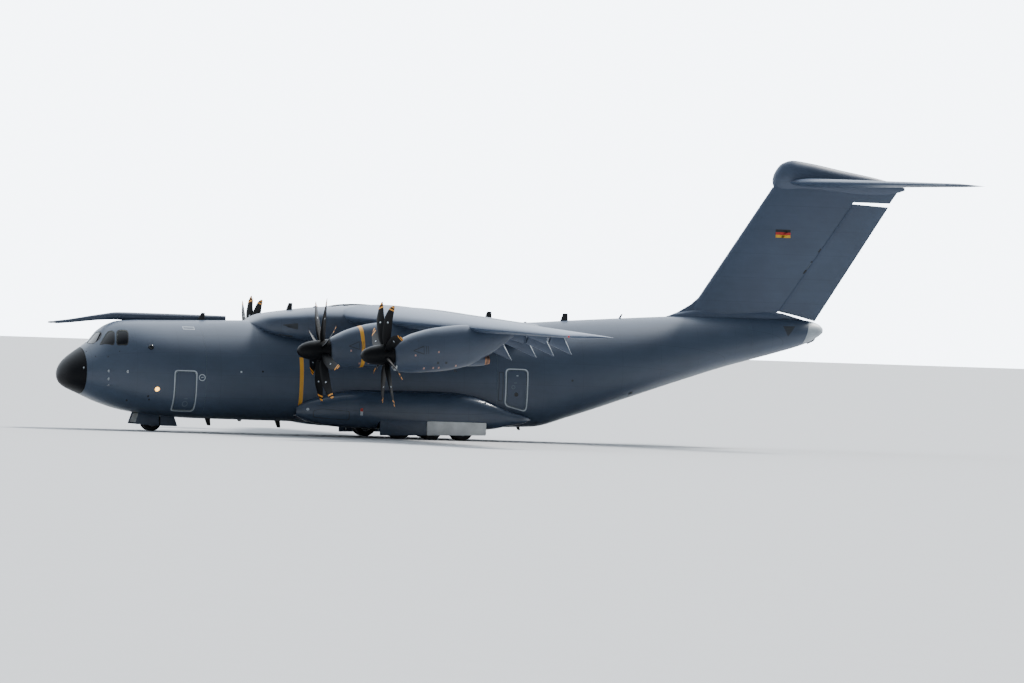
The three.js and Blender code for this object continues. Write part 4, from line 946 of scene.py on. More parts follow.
@dataclass
class Fuselage:
    """Radome, skins, doors, ramp and what is set into them."""

    wall: float = 0.10             # thickness of the skin with its frames
    gap: float = 0.014             # round a door
    radome_end: float = 1.10
    nose_end: float = 6.90
    forward_end: float = 12.60
    centre_end: float = 22.00
    aft_end: float = 35.90
    tip: float = 40.12
    seam: float = 0.004            # between two barrels
    crew_door: tuple[float, float, float, float] = (5.34, 6.36, 1.10, 3.02)    # x, x, z, z
    bay: tuple[float, float, float, float] = (3.85, 6.05, 0.58, 1.86)          # x, x, half width, roof
    ramp: Triple = (24.40, 29.40, 2.00)                     # x, x, half width
    ramp_floor: Pair = (1.20, 2.66)
    upper_door: Triple = (35.20, 1.90, 0.60)                # end, half widths
    lean: float = 0.5              # how far the ramp's rear joint leans forward for each metre up
    # Window outlines on the flat skin: how far aft, and angle down from the crown
    panes: tuple[tuple[Pair, ...], ...] = (
        ((1.42, 0.06), (1.86, 0.06), (1.98, 0.36), (1.87, 0.53), (1.56, 0.48), (1.45, 0.28)),
        ((1.76, 0.74), (2.28, 0.49), (2.51, 0.58), (2.38, 0.955)),
        ((2.50, 0.965), (2.64, 0.60), (3.14, 0.65), (3.02, 1.00)),
    )

    def build(self) -> None:
        """Build the whole fuselage."""
        self.build_radome()
        self.build_nose()
        self.build_glass()
        self.build_crew_door()
        self.build_barrels()
        self.build_aft()
        for side in Side:
            self.build_side_door(side)
        self.build_ramp()
        self.build_upper_door()
        self.build_nose_bay()

    def build_radome(self) -> None:
        """The black radome, closed at its joint."""
        bm = bmesh.new()
        stations = [-0.04 + (self.radome_end - self.seam + 0.04) * t * t for t in steps(0, 1, 28)]
        turns = angles(96)
        loft(bm, [[HULL.point(x, turn) for turn in turns] for x in stations])
        piece("radome_skin", bm, [RADOME_COAT], "airframe", ["radome"])

    def pane_outline(self, pane: Outline, side: Side, gap: float) -> list[Pair]:
        """A window's outline on the flat skin of one side, smaller by a gap."""
        shape = inset_outline(finer(rounded(pane, 0.11), BELLY_EDGE), gap)
        return [(x, turn if side is Side.RIGHT else math.tau - turn) for x, turn in shape]

    def finish(self, name: str, skin: Skin, more: Sequence[Finish], node: str,
               body: str = "airframe", slot: str = "skin_grey") -> None:
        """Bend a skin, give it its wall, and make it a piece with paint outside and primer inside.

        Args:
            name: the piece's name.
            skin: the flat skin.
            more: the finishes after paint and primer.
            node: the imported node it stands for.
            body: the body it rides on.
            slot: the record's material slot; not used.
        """
        skin.bend()
        skin.thicken(self.wall, 1)
        piece(name, skin.bm, [FUSELAGE_PAINT, LINING, *more], body, [node])

    def door_outline(self, gap: float) -> list[Pair]:
        """The crew door's outline in side view, smaller by a gap."""
        return inset_outline(rounded(box(*self.crew_door), 0.16), gap)

    def build_nose(self) -> None:
        """The nose skin with its windows, doorway, gear bay and marks."""
        skin = Skin(self.radome_end + self.seam, self.nose_end - self.seam / 2, cell=0.16, around=112)
        for side in Side:
            for pane in self.panes:
                outline = self.pane_outline(pane, side, 0)
                skin.band(self.pane_outline(pane, side, -0.035), outline, 2)
                skin.cut_out(outline)
        left = Side.LEFT
        skin.band(HULL.on_side(self.door_outline(-0.07), left),
                  HULL.on_side(self.door_outline(-0.02), left), 3)
        skin.cut_out(HULL.on_side(self.door_outline(0), left))
        skin.line(circle(6.68, 2.75, 0.17, 20), 0.035, left, 3)
        skin.mark(HULL.on_side([(6.62, 2.73), (6.75, 2.76), (6.75, 2.79), (6.62, 2.76)], left), 3)
        skin.line(box(5.97, 6.55, 5.11, 5.24), 0.02, left, 3)
        x0, x1, half, _ = self.bay
        skin.cut_out(HULL.on_belly(box(x0, x1, -half, half)))
        self.finish("nose_skin", skin, [SEAL, MARKS_AND_PAINTED_HIGHLIGHT], "nose_section")

    def build_glass(self) -> None:
        """The window panes, each a little below the skin."""
        bm = bmesh.new()
        for side in Side:
            for pane in self.panes:
                near = [turn for _, turn in pane]
                low, high = min(near) - 0.1, max(near) + 0.1
                if side is Side.LEFT:
                    low, high = math.tau - high, math.tau - low
                skin = Skin(1.2, 3.4, low, high, cell=0.1, around=160)
                skin.keep_only(self.pane_outline(pane, side, -0.03))
                skin.bend(0.014)
                skin.thicken(0.03, 0)
                part = bpy.data.meshes.new("pane")
                skin.bm.to_mesh(part)
                skin.bm.free()
                bm.from_mesh(part)
                bpy.data.meshes.remove(part)
        piece("cockpit_panes", bm, [GLASS], "airframe", ["cockpit_glazing"])

    def build_crew_door(self) -> None:
        """The crew door with its worn step marks."""
        left = Side.LEFT
        skin = Skin(5.2, 6.5, math.pi, math.tau, cell=0.12, around=128)
        skin.keep_only(HULL.on_side(self.door_outline(self.gap), left))
        skin.line(circle(5.9, 1.42, 0.14, 16), 0.03, left, 2)
        skin.mark(HULL.on_side(box(5.84, 6.0, 1.66, 1.69), left), 2)
        self.finish("crew_door_panel", skin, [FAINT_PAINT], "crew_door", "crew_door", "door_grey")

    def build_barrels(self) -> None:
        """The plain barrels between the nose and the wing's rear edge, the tail cone and its aerial."""
        forward = Skin(self.nose_end + self.seam / 2, self.forward_end - self.seam / 2)
        for side in Side:
            forward.mark(HULL.on_side(box(11.70, 11.90, 1.24, 3.90), side), 2)
            # The dot further aft takes the near-black duct paint, a painted shade
            for x, z in ((8.68, 3.09), (9.79, 3.14)):
                forward.mark(HULL.on_side(circle(x, z, 0.05, 10), side), 3 if x < 9 else 4)
        self.finish("forward_skin", forward, [STRIPE_PAINT, MARKS_AND_PAINTED_HIGHLIGHT, DUCT_SHADE_BLACK], "forward_fuselage")
        centre = Skin(self.forward_end + self.seam / 2, self.centre_end - self.seam / 2)
        self.finish("centre_skin", centre, [], "centre_fuselage")
        cone = Skin(self.aft_end + self.seam / 2, self.tip, cell=0.13)
        # The pale tip aft of a slanted edge is painted sunlight on the cone's end
        edge = [(39.29 - 0.2 * (1 - math.cos(turn)), turn) for turn in steps(0, math.tau, 24)]
        cone.mark([*edge, (self.tip + 0.1, math.tau), (self.tip + 0.1, 0)], 1)
        # The dark triangle on each side is a painted shadow of the tailplane on the cone
        for side in Side:
            cone.mark(HULL.on_side([(37.70, 6.27), (38.40, 6.27), (37.93, 5.74)], side), 2)
        cone.bend()
        grow(cone.bm, list(cone.bm.verts))
        piece("tail_cone_skin", cone.bm, [FUSELAGE_PAINT, TIP_PALE, DARK_PAINT], "airframe",
              ["tail_cone"])
        bm = bmesh.new()
        rows = ((39.30, 0.03, 0.02), (39.36, 0.06, 0.08), (39.66, 0.06, 0.10), (39.76, 0.03, 0.05))
        loft(bm, [slab_ring(x, 0, half, HULL.keel(x) + 0.06, HULL.keel(x) - drop)
                  for x, half, drop in rows])
        piece("tail_aerial_housing", bm, [ANTENNA_BLACK], "airframe")

    def side_door_outline(self, gap: float) -> list[Pair]:
        """The paratroop door's outline in side view, smaller by a gap."""
        corners = [(22.50, 1.87), (23.52, 1.60), (23.52, 3.60), (22.50, 3.60)]
        return inset_outline(rounded(corners, 0.2), gap)

    def leaning(self, x: float, z: float) -> float:
        """Where the leaning joint between ramp and upper door lies at a height."""
        return x - self.lean * (z - HULL.keel(self.ramp[1]))

    def belly_height(self, x: float, y: float) -> float:
        """The height of the belly's skin in the real aeroplane's metres."""
        return HULL.point(x, HULL.turn_below(x, y)).z / SCALE

    def leaning_edge(self, x: float, half: float) -> list[Pair]:
        """The joint's edge on the skin in plan view, from the left to the right."""
        return [(self.leaning(x, self.belly_height(x, y)), y) for y in steps(-half, half, 12)]

    def build_aft(self) -> None:
        """The aft skin with the side doorways and the loading opening."""
        x0, x1, half = self.ramp
        end, wide, narrow = self.upper_door
        skin = Skin(self.centre_end + self.seam / 2, self.aft_end - self.seam / 2)
        for side in Side:
            skin.band(HULL.on_side(self.side_door_outline(-0.09), side),
                      HULL.on_side(self.side_door_outline(-0.03), side), 2)
            skin.cut_out(HULL.on_side(self.side_door_outline(0), side))
            skin.line([(22.06, 2.05), (22.30, 2.02), (22.30, 3.50), (22.06, 3.50)], 0.035, side, 3)
            skin.mark(HULL.on_side(circle(25.95, 3.17, 0.06), side), 3)
        wide -= (wide - narrow) * 0.4 / (end - x1 + 0.4)
        skin.cut_out(HULL.on_belly([(x0, -half), (x1, -half), (x1, -wide), (end, -narrow),
                                    (end, narrow), (x1, wide), (x1, half), (x0, half)]))
        self.finish("aft_skin", skin, [MARKS_AND_PAINTED_HIGHLIGHT, DARK_PAINT], "aft_fuselage")

    def build_side_door(self, side: Side) -> None:
        """One paratroop door with its round window."""
        low, high = (0.0, math.pi) if side is Side.RIGHT else (math.pi, math.tau)
        skin = Skin(22.3, 23.7, low, high, cell=0.14, around=128)
        skin.keep_only(HULL.on_side(self.side_door_outline(self.gap), side))
        eye = circle(23.0, 2.38, 0.085, 18)
        skin.band(HULL.on_side(inset_outline(eye, -0.02), side), HULL.on_side(eye, side), 2)
        skin.mark(HULL.on_side(eye, side), 3)
        skin.line(circle(22.83, 2.75, 0.10, 14), 0.025, side, 5)
        for x, z, wide, index in ((22.98, 3.31, 0.10, 4), (22.86, 2.95, 0.16, 5)):
            skin.mark(HULL.on_side(box(x, x + wide, z, z + 0.035), side), index)
        self.finish(f"side_door_{side.label}", skin, [SEAL, GLASS, MARKS_AND_PAINTED_HIGHLIGHT, FAINT_PAINT],
                    f"paratroop_door_{side.label}", slot="door_grey")

    def raise_floor(self, skin: Skin, floor: Callable[[float], float],
                    limit: Callable[[float], Pair]) -> None:
        """Turn a bent piece of belly skin into a closed body under a flat floor.

        Args:
            skin: the bent skin.
            floor: the floor's height for each x.
            limit: the least and greatest x allowed at a height.
        """
        bm = skin.bm
        made = bmesh.ops.extrude_face_region(bm, geom=list(bm.faces), use_keep_orig=True)["geom"]
        for vert in (g for g in made if isinstance(g, bmesh.types.BMVert)):
            x, z = vert.co.x / SCALE + ORIGIN_X, vert.co.z / SCALE
            z = max(floor(x), z + 0.06)
            low, high = limit(z)
            vert.co.x, vert.co.z = (min(max(x, low), high) - ORIGIN_X) * SCALE, z * SCALE
        paint_faces([g for g in made if isinstance(g, bmesh.types.BMFace)], 1)
        bmesh.ops.recalc_face_normals(bm, faces=bm.faces)

    def build_ramp(self) -> None:
        """The loading ramp: belly skin under a flat deck with treads."""
        x0, x1, half = self.ramp
        front, beside = x0 + self.gap, half - self.gap
        edge = self.leaning_edge(x1 - self.gap, beside)
        skin = Skin(x0, x1, math.pi - 1.4, math.pi + 1.4, cell=0.2, around=112)
        skin.keep_only(HULL.on_belly([(front, -beside), *edge, (front, beside)]))
        skin.bend()
        low, high = self.ramp_floor
        self.raise_floor(skin, lambda x: mix(low, high, (x - x0) / (x1 - x0)),
                         lambda z: (front, self.leaning(x1 - self.gap, z)))
        for i in range(9):
            x = 24.9 + 0.45 * i
            z = mix(low, high, (x - x0) / (x1 - x0))
            plate(skin.bm, [at(x, -1.5, z), at(x + 0.08, -1.5, z + 0.025), at(x + 0.08, 1.5, z + 0.025),
                            at(x, 1.5, z)], Vector((0, 0, size(0.02))))
        piece("ramp_panel", skin.bm, [FUSELAGE_PAINT, DECK], "loading_ramp", ["loading_ramp"])

    def build_upper_door(self) -> None:
        """The upper cargo door behind the ramp."""
        _, x1, _ = self.ramp
        end, wide, narrow = self.upper_door
        share = 0.4 / (end - x1 + 0.4)
        edge = self.leaning_edge(x1 + self.gap, mix(wide, narrow, share) - self.gap)
        corners = [*edge, (end - self.gap, narrow - self.gap), (end - self.gap, -narrow + self.gap)]
        skin = Skin(x1 - 0.9, end, math.pi - 1.4, math.pi + 1.4, cell=0.2, around=112)
        skin.keep_only(HULL.on_belly(corners))
        skin.bend()
        self.raise_floor(skin, lambda x: mix(HULL.keel(x1), HULL.keel(end), (x - x1) / (end - x1)) + 0.28,
                         lambda z: (self.leaning(x1 + self.gap, z), end - self.gap))
        piece("upper_door_panel", skin.bm, [FUSELAGE_PAINT, LINING], "upper_cargo_door",
              ["upper_cargo_door"])

    def build_nose_bay(self) -> None:
        """The nose gear bay: four walls with ribs and a roof, open below."""
        x0, x1, half, roof = self.bay
        bm = bmesh.new()
        made = bmesh.ops.create_cube(bm, size=1)["verts"]
        for vert in made:
            x = mix(x0 - 0.02, x1 + 0.02, vert.co.x + 0.5)
            z = roof if vert.co.z > 0 else HULL.keel(x) + 0.08
            vert.co = at(x, (half + 0.02) * 2 * vert.co.y, z)
        floor = [f for f in bm.faces if f.normal.z < -0.5]
        bmesh.ops.delete(bm, geom=floor, context="FACES")
        bmesh.ops.reverse_faces(bm, faces=bm.faces)
        bmesh.ops.solidify(bm, geom=list(bm.faces), thickness=size(0.03))
        for x in steps(x0 + 0.25, x1 - 0.25, 5):
            for sign in (-1, 1):
                corners = box(half, half - 0.06, 1.0, roof - 0.05)
                plate(bm, [at(x, sign * y, z) for y, z in corners], Vector((size(0.03), 0, 0)))
        piece("nose_gear_bay", bm, [BAY_WHITE_AND_PAINTED_SUNLIGHT], "airframe")


# Wings

def half_thickness(share: float) -> float:
    """Half the thickness of a four-digit section of thickness 1, at a share of its chord."""
    return 5 * (0.2969 * math.sqrt(share) - 0.126 * share - 0.3516 * share**2
                + 0.2843 * share**3 - 0.1015 * share**4)


def chord_steps(low: float, high: float, count: int) -> list[float]:
    """Shares of the chord, crowded at the leading edge."""
    return [mix(low, high, 1 - math.cos(t * math.pi / 2)) for t in steps(0, 1, count)]


@dataclass(frozen=True)
class Foil:
    """A wing section at one station."""

    le: float
    z: float
    chord: float
    thick: float
    twist: float = 0.0
    camber: float = 0.0

    def place(self, share: float, height: float) -> Pair:
        """The x and z of a share of the chord and a height, both in chords."""
        s, c = math.sin(math.radians(self.twist)), math.cos(math.radians(self.twist))
        along, up = share * c + height * s, height * c - share * s
        return self.le + self.chord * along, self.z + self.chord * up

    def surface(self, share: float, sign: int) -> Pair:
        """The x and z of the upper or lower surface at a share of the chord."""
        return self.place(share, sign * self.thick * half_thickness(share) + self.rise(share))

    def rise(self, share: float) -> float:
        """The mean line's height in chords."""
        return self.camber * 4 * share * (1 - share)

    def on_chord(self, share: float) -> Pair:
        """The x and z of a point on the chord line."""
        along = share * self.chord
        return self.le + along, self.z - along * math.sin(math.radians(self.twist))

    def outline(self, upper_end: float = 1.0, lower_end: float = 1.0, count: int = 24) -> list[Pair]:
        """The outline from the upper surface's end round the nose to the lower surface's end."""
        upper = [self.surface(t, 1) for t in reversed(chord_steps(0, upper_end, count))]
        return upper + [self.surface(t, -1) for t in chord_steps(0, lower_end, count)[1:]]

    def radius(self, share: float) -> float:
        """Half the thickness at a share of the chord, in metres."""
        return self.thick * half_thickness(share) * self.chord

    def middle(self, share: float) -> Pair:
        """The x and z of the mean line, where a hinge lies."""
        x, z = self.on_chord(share)
        return x, z + self.rise(share) * self.chord


def cove(foil: Foil, share: float, gap: float, slant: float = 1.0) -> list[Pair]:
    """A section that ends in a round cove for a hinged surface.

    Args:
        foil: the section.
        share: where the hinge lies.
        gap: the running gap.
        slant: how much longer the cut is because the hinge leans.

    Returns:
        The outline, in x and z.
    """
    x, z = foil.middle(share)
    wide = foil.radius(share) + gap
    start = math.asin(foil.radius(share) / wide)
    end = share - wide * slant * math.cos(start) / foil.chord
    arc = [(x - wide * slant * math.cos(a), z + wide * math.sin(a)) for a in steps(-start, start, 10)]
    return foil.outline(end, end) + arc[1:-1]


def hinged(foil: Foil, share: float, slant: float = 1.0) -> list[Pair]:
    """The section of a hinged surface with a round nose on its hinge.

    Args:
        foil: the section that it is part of.
        share: where the hinge lies.
        slant: how much longer the cut is because the hinge leans.

    Returns:
        The outline, in x and z.
    """
    x, z = foil.middle(share)
    wide = foil.radius(share)
    shares = steps(1, share, 10)
    arc = [(x - wide * slant * math.cos(a), z + wide * math.sin(a))
           for a in steps(math.pi / 2, -math.pi / 2, 14)]
    return ([foil.surface(t, 1) for t in shares[:-1]] + arc
            + [foil.surface(t, -1) for t in reversed(shares[:-1])])


def slab_ring(x: float, y: float, half: float, top: float, bottom: float, corner: float = 0.7,
              count: int = 20) -> list[Vector]:
    """An upright rounded ring across the airflow.

    Args:
        x, y: its place.
        half: half its width.
        top, bottom: its heights.
        corner: 1 for an ellipse, less for a squarer ring.
        count: points round it.

    Returns:
        The ring's points.
    """
    middle, tall = (top + bottom) / 2, (top - bottom) / 2
    return [at(x, y + half * power(math.sin(a), corner), middle + tall * power(math.cos(a), corner))
            for a in angles(count)]


@dataclass
class Wing:
    """One wing: fixed structure, flap, aileron, track fairings, spoilers and lights."""

    side: Side
    root: Foil = Foil(13.95, 6.02, 7.60, 0.150, 1.5, 0.015)
    tip: Foil = Foil(20.05, 5.42, 2.05, 0.110, -0.5, 0.015)
    root_y: float = 2.95
    inner_y: float = 2.30
    tip_y: float = 21.2
    flap_y: Pair = (3.12, 15.30)
    aileron_y: Pair = (15.45, 20.30)
    cove_share: float = 0.76       # shares of the chord where the lower skin, the upper lip end
    lip_share: float = 0.87
    lip: float = 0.006             # the lip's thickness, in chords
    flap_nose: float = 0.785
    flap_rest: float = 18.0        # degrees that the flap hangs down as it parks
    aileron_share: float = 0.78
    tracks: tuple[float, ...] = (4.6, 8.6, 11.4, 14.2)
    gap: float = 0.014

    def foil(self, y: float) -> Foil:
        """The section at a span place."""
        t = (y - self.root_y) / (self.tip_y - self.root_y)
        values = [mix(getattr(self.root, key), getattr(self.tip, key), t)
                  for key in ("le", "z", "chord", "thick", "twist", "camber")]
        return Foil(*values)

    def ring(self, outline: Outline, y: float) -> list[Vector]:
        """An outline in x and z, set at a span place of this wing."""
        return [at(x, self.side.value * y, z) for x, z in outline]

    def build(self) -> None:
        """Build the wing and what moves on it."""
        self.build_fixed()
        self.build_flap()
        self.build_aileron()
        self.build_spoilers()
        self.build_fittings()

    def flap_bay(self, y: float) -> list[Pair]:
        """The section that the flap lies behind: a lip above, an open cove below."""
        foil = self.foil(y)
        under = [(t, foil.thick * half_thickness(t) + foil.rise(t) - self.lip) for t in
                 (self.cove_share, mix(self.cove_share, self.lip_share, 0.5), self.lip_share)]
        return foil.outline(self.lip_share, self.cove_share) + [foil.place(t, h) for t, h in under]

    def build_fixed(self) -> None:
        """The fixed wing in spans, and the front parts of the flap track fairings."""
        bm = bmesh.new()
        flap0, flap1 = self.flap_y
        aileron0, aileron1 = self.aileron_y
        spans = (
            ([self.inner_y, flap0], lambda y: self.foil(y).outline()),
            (steps(flap0, flap1 + self.gap, 14), self.flap_bay),
            ([flap1 + self.gap, aileron0 - 0.03], lambda y: self.foil(y).outline()),
            (steps(aileron0 - 0.03, aileron1 + 0.03, 6),
             lambda y: cove(self.foil(y), self.aileron_share, self.gap)),
        )
        for places, section in spans:
            loft(bm, [self.ring(section(y), y) for y in places])
        outer = self.foil(self.tip_y)
        rings = [self.ring(self.foil(y).outline(), y) for y in (aileron1 + 0.03, self.tip_y - 0.3)]
        for back, thin, y in ((0.05, 0.10, -0.16), (0.17, 0.085, -0.07), (0.42, 0.055, 0.0)):
            shape = Foil(outer.le + back, outer.z, outer.chord - back - 0.03, thin, outer.twist, 0.015)
            rings.append(self.ring(shape.outline(), self.tip_y + y))
        loft(bm, rings)
        for y in self.tracks:
            foil = self.foil(y)
            drop = self.drop(y)
            rings = []
            for t in steps(0, 1, 10):
                x, z = foil.on_chord(mix(0.50, 0.756, t))
                half = 0.11 * math.sqrt(mix(0.05, 1, t))
                below = mix(foil.radius(0.5) * 0.9, drop + 0.06, t ** 0.8)
                rings.append(slab_ring(x, self.side.value * y, half, z - 0.02, z - below))
            loft(bm, rings)
        piece(f"wing_skin_{self.side.label}", bm, [WING_PAINT], "airframe",
              [f"wing_{self.side.label}"])

    def drop(self, y: float) -> float:
        """How far the flap's hinge lies under the chord line."""
        return 0.11 * self.foil(y).chord + 0.1

    def hinge(self, y: float) -> Vector:
        """A place on the flap's hinge line."""
        x, z = self.foil(y).on_chord(self.flap_nose + 0.005)
        return at(x, self.side.value * y, z - self.drop(y))

    def build_flap(self) -> None:
        """The flap with the tails of its track fairings, turned down about its hinge line."""
        bm = bmesh.new()
        middle = 9.9
        for y0, y1 in ((self.flap_y[0] + 0.03, middle - 0.01), (middle + 0.01, self.flap_y[1])):
            rings = []
            for y in steps(y0, y1, 8):
                foil = self.foil(y)
                x, z = foil.on_chord(self.flap_nose)
                shape = Foil(x, z + 0.001 * foil.chord, (1 - self.flap_nose) * foil.chord, 0.165,
                             foil.twist + 1.5)
                rings.append(self.ring(shape.outline(count=16), y))
            loft(bm, rings)
        for y in self.tracks:
            foil, drop = self.foil(y), self.drop(y)
            rings = []
            for t in steps(0, 1, 14):
                share = mix(0.786, 1.10, t)
                x, z = foil.on_chord(share)
                slope = max(0.0, (share - 0.94) / 0.16)
                bottom = mix(drop + 0.05, drop + 0.16, t)
                top = min(slope * (drop + 0.16), bottom - 0.02)
                half = 0.11 * (1 - 0.85 * t ** 3)
                rings.append(slab_ring(x, self.side.value * y, half, z - top, z - bottom))
            faces = loft(bm, rings)
            # The upward faces of each tail aft of 95 % chord are painted pale: a painted highlight
            cut = foil.on_chord(0.95)[0]
            edge = at(cut, 0, 0).x
            paint_faces([f for f in faces if f.calc_center_median().x > edge and f.normal.z > 0.25], 1)
        start, end = (self.hinge(y) for y in self.flap_y)
        angle = math.radians(self.side.value * self.flap_rest)
        turn = Matrix.Rotation(angle, 4, (end - start).normalized())
        bmesh.ops.transform(bm, verts=bm.verts,
                            matrix=Matrix.Translation(start) @ turn @ Matrix.Translation(-start))
        piece(f"flap_skin_{self.side.label}", bm, [WING_PAINT, MARKS_AND_PAINTED_HIGHLIGHT], f"flap_{self.side.label}",
              [f"flap_{self.side.label}"])

    def build_aileron(self) -> None:
        """The aileron with its static wicks."""
        bm = bmesh.new()
        y0, y1 = self.aileron_y
        loft(bm, [self.ring(hinged(self.foil(y), self.aileron_share), y) for y in steps(y0, y1, 6)])
        for y in steps(y0 + 2.4, y1 - 0.2, 4):
            x, z = self.foil(y).surface(1.0, 1)
            wick(bm, at(x - 0.02, self.side.value * y, z), 0.22, 0.01)
        piece(f"aileron_skin_{self.side.label}", bm, [WING_PAINT], f"aileron_{self.side.label}",
              [f"aileron_{self.side.label}"])

    def upper(self, share: float, y: float) -> Vector:
        """A place on the upper surface."""
        x, z = self.foil(y).surface(share, 1)
        return at(x, self.side.value * y, z + PROUD)

    def build_spoilers(self) -> None:
        """Five spoiler panels ahead of the flap, a little proud of the skin."""
        bm = bmesh.new()
        edges = steps(4.0, 14.9, 5)
        for y0, y1 in zip(edges, edges[1:]):
            bent_sheet(bm, self.upper, (0.745, 0.862), (y0 + 0.03, y1 - 0.03), (6, 6), 0.02)
        piece(f"spoilers_{self.side.label}", bm, [WING_PAINT], "airframe")

    def build_fittings(self) -> None:
        """The tip's position light."""
        lamp = RED_LENS if self.side is Side.LEFT else GREEN_LENS
        foil = self.foil(self.tip_y - 0.42)
        x, z = foil.surface(0.0, 1)
        place = at(x + 0.03, self.side.value * (self.tip_y - 0.42), z)
        bm = bmesh.new()
        turned(bm, [(-0.07, 0.0), (-0.05, 0.035), (0.0, 0.055), (0.06, 0.05),
                    (0.1, 0.0)], place, Vector((1, 0, 0)), 16)
        piece(f"position_light_{self.side.label}", bm, [lamp], "airframe")


@dataclass
class WingFairing:
    """The smooth hump over the wing's centre box."""

    # x, half width, crown, foot
    table: Table = Table((
        (9.6, 0.9, 5.60, 5.2), (10.3, 1.9, 5.98, 4.9), (11.8, 2.55, 6.24, 4.6), (13.4, 2.93, 6.44, 4.5),
        (16.4, 2.93, 6.62, 4.5), (18.6, 2.93, 6.56, 4.5), (21.4, 2.93, 6.28, 4.6), (23.4, 2.3, 6.06, 4.9),
        (24.6, 1.2, 5.95, 5.3)))

    def point(self, x: float, turn: float, proud: float = 0.0) -> Vector:
        """A place on the fairing, kept on the hull's roof.

        Args:
            x: how far aft.
            turn: angle from the crown over the right side.
            proud: how far outside the fairing.

        Returns:
            The model place.
        """
        half, crown, foot = self.table.at(x)
        wide, roof, waist, _, _ = HULL.table.at(x)
        y = (half + proud) * power(math.sin(turn), 0.6)
        z = (crown + foot) / 2 + ((crown - foot) / 2 + proud) * power(math.cos(turn), 0.6)
        if abs(y) < wide:
            z = max(z, waist + (roof - waist) * math.sqrt(1 - (y / wide) ** 2) - 0.04)
        return at(x, y, z)

    def build(self) -> None:
        """Build the fairing, the two wedge inlets on each side and the bumps on its crown."""
        bm = bmesh.new()
        turns = angles(64)
        loft(bm, [[self.point(x, turn) for turn in turns] for x in steps(9.6, 24.6, 60)])
        piece("wing_fairing_skin", bm, [COWL_PAINT], "airframe", ["wing_fairing"])
        bm = bmesh.new()
        # The wedge inlets are dark sheets on the skin that stand in for the shade inside their openings:
        # painted shade
        for side in Side:
            for x0, turn in ((10.9, 1.55), (10.7, 2.05)):
                def wedge(x: float, t: float) -> Vector:
                    """A place in the wedge, which widens aft."""
                    return self.point(x, side.value * (turn + t * mix(0.005, 0.06, (x - x0) / 0.7)), PROUD)
                bent_sheet(bm, wedge, (x0, x0 + 0.7), (-side.value, side.value), (8, 4), 0.012)
        bump = ((-0.16, 0.03, 0.0), (-0.08, 0.07, 0.06), (0.05, 0.07, 0.07), (0.2, 0.03, 0.0))
        for x in (13.2, 14.15, 14.8):
            crown = self.table.at(x)[1]
            loft(bm, [slab_ring(x + aft, 0, half, crown + tall, crown - 0.05, 1.0, 16)
                      for aft, half, tall in bump])
        piece("fairing_inlets", bm, [DARK_PAINT], "airframe")


# Engines and propellers

@dataclass(frozen=True)
class Hub:
    """A propeller's centre; the thrust line droops at the nose."""

    name: str
    x: float
    y: float
    z: float
    hand: int              # which way it turns
    droop: float = 4.0

    def place(self, x: float, y: float, z: float) -> Vector:
        """The model place of a place along, beside and above the thrust line."""
        turn = Matrix.Rotation(math.radians(-self.droop), 3, "Y")
        return at(self.x, self.y, self.z) + turn @ (Vector((x, y, z)) * SCALE)

    def along(self) -> Vector:
        """The thrust line's direction, aft."""
        return Matrix.Rotation(math.radians(-self.droop), 3, "Y") @ Vector((1, 0, 0))


HUBS = (Hub("left_outer", 13.24, -12.60, 4.24, -1), Hub("left_inner", 11.82, -6.23, 4.33, 1),
        Hub("right_inner", 11.82, 6.23, 4.33, -1), Hub("right_outer", 13.24, 12.60, 4.24, 1))


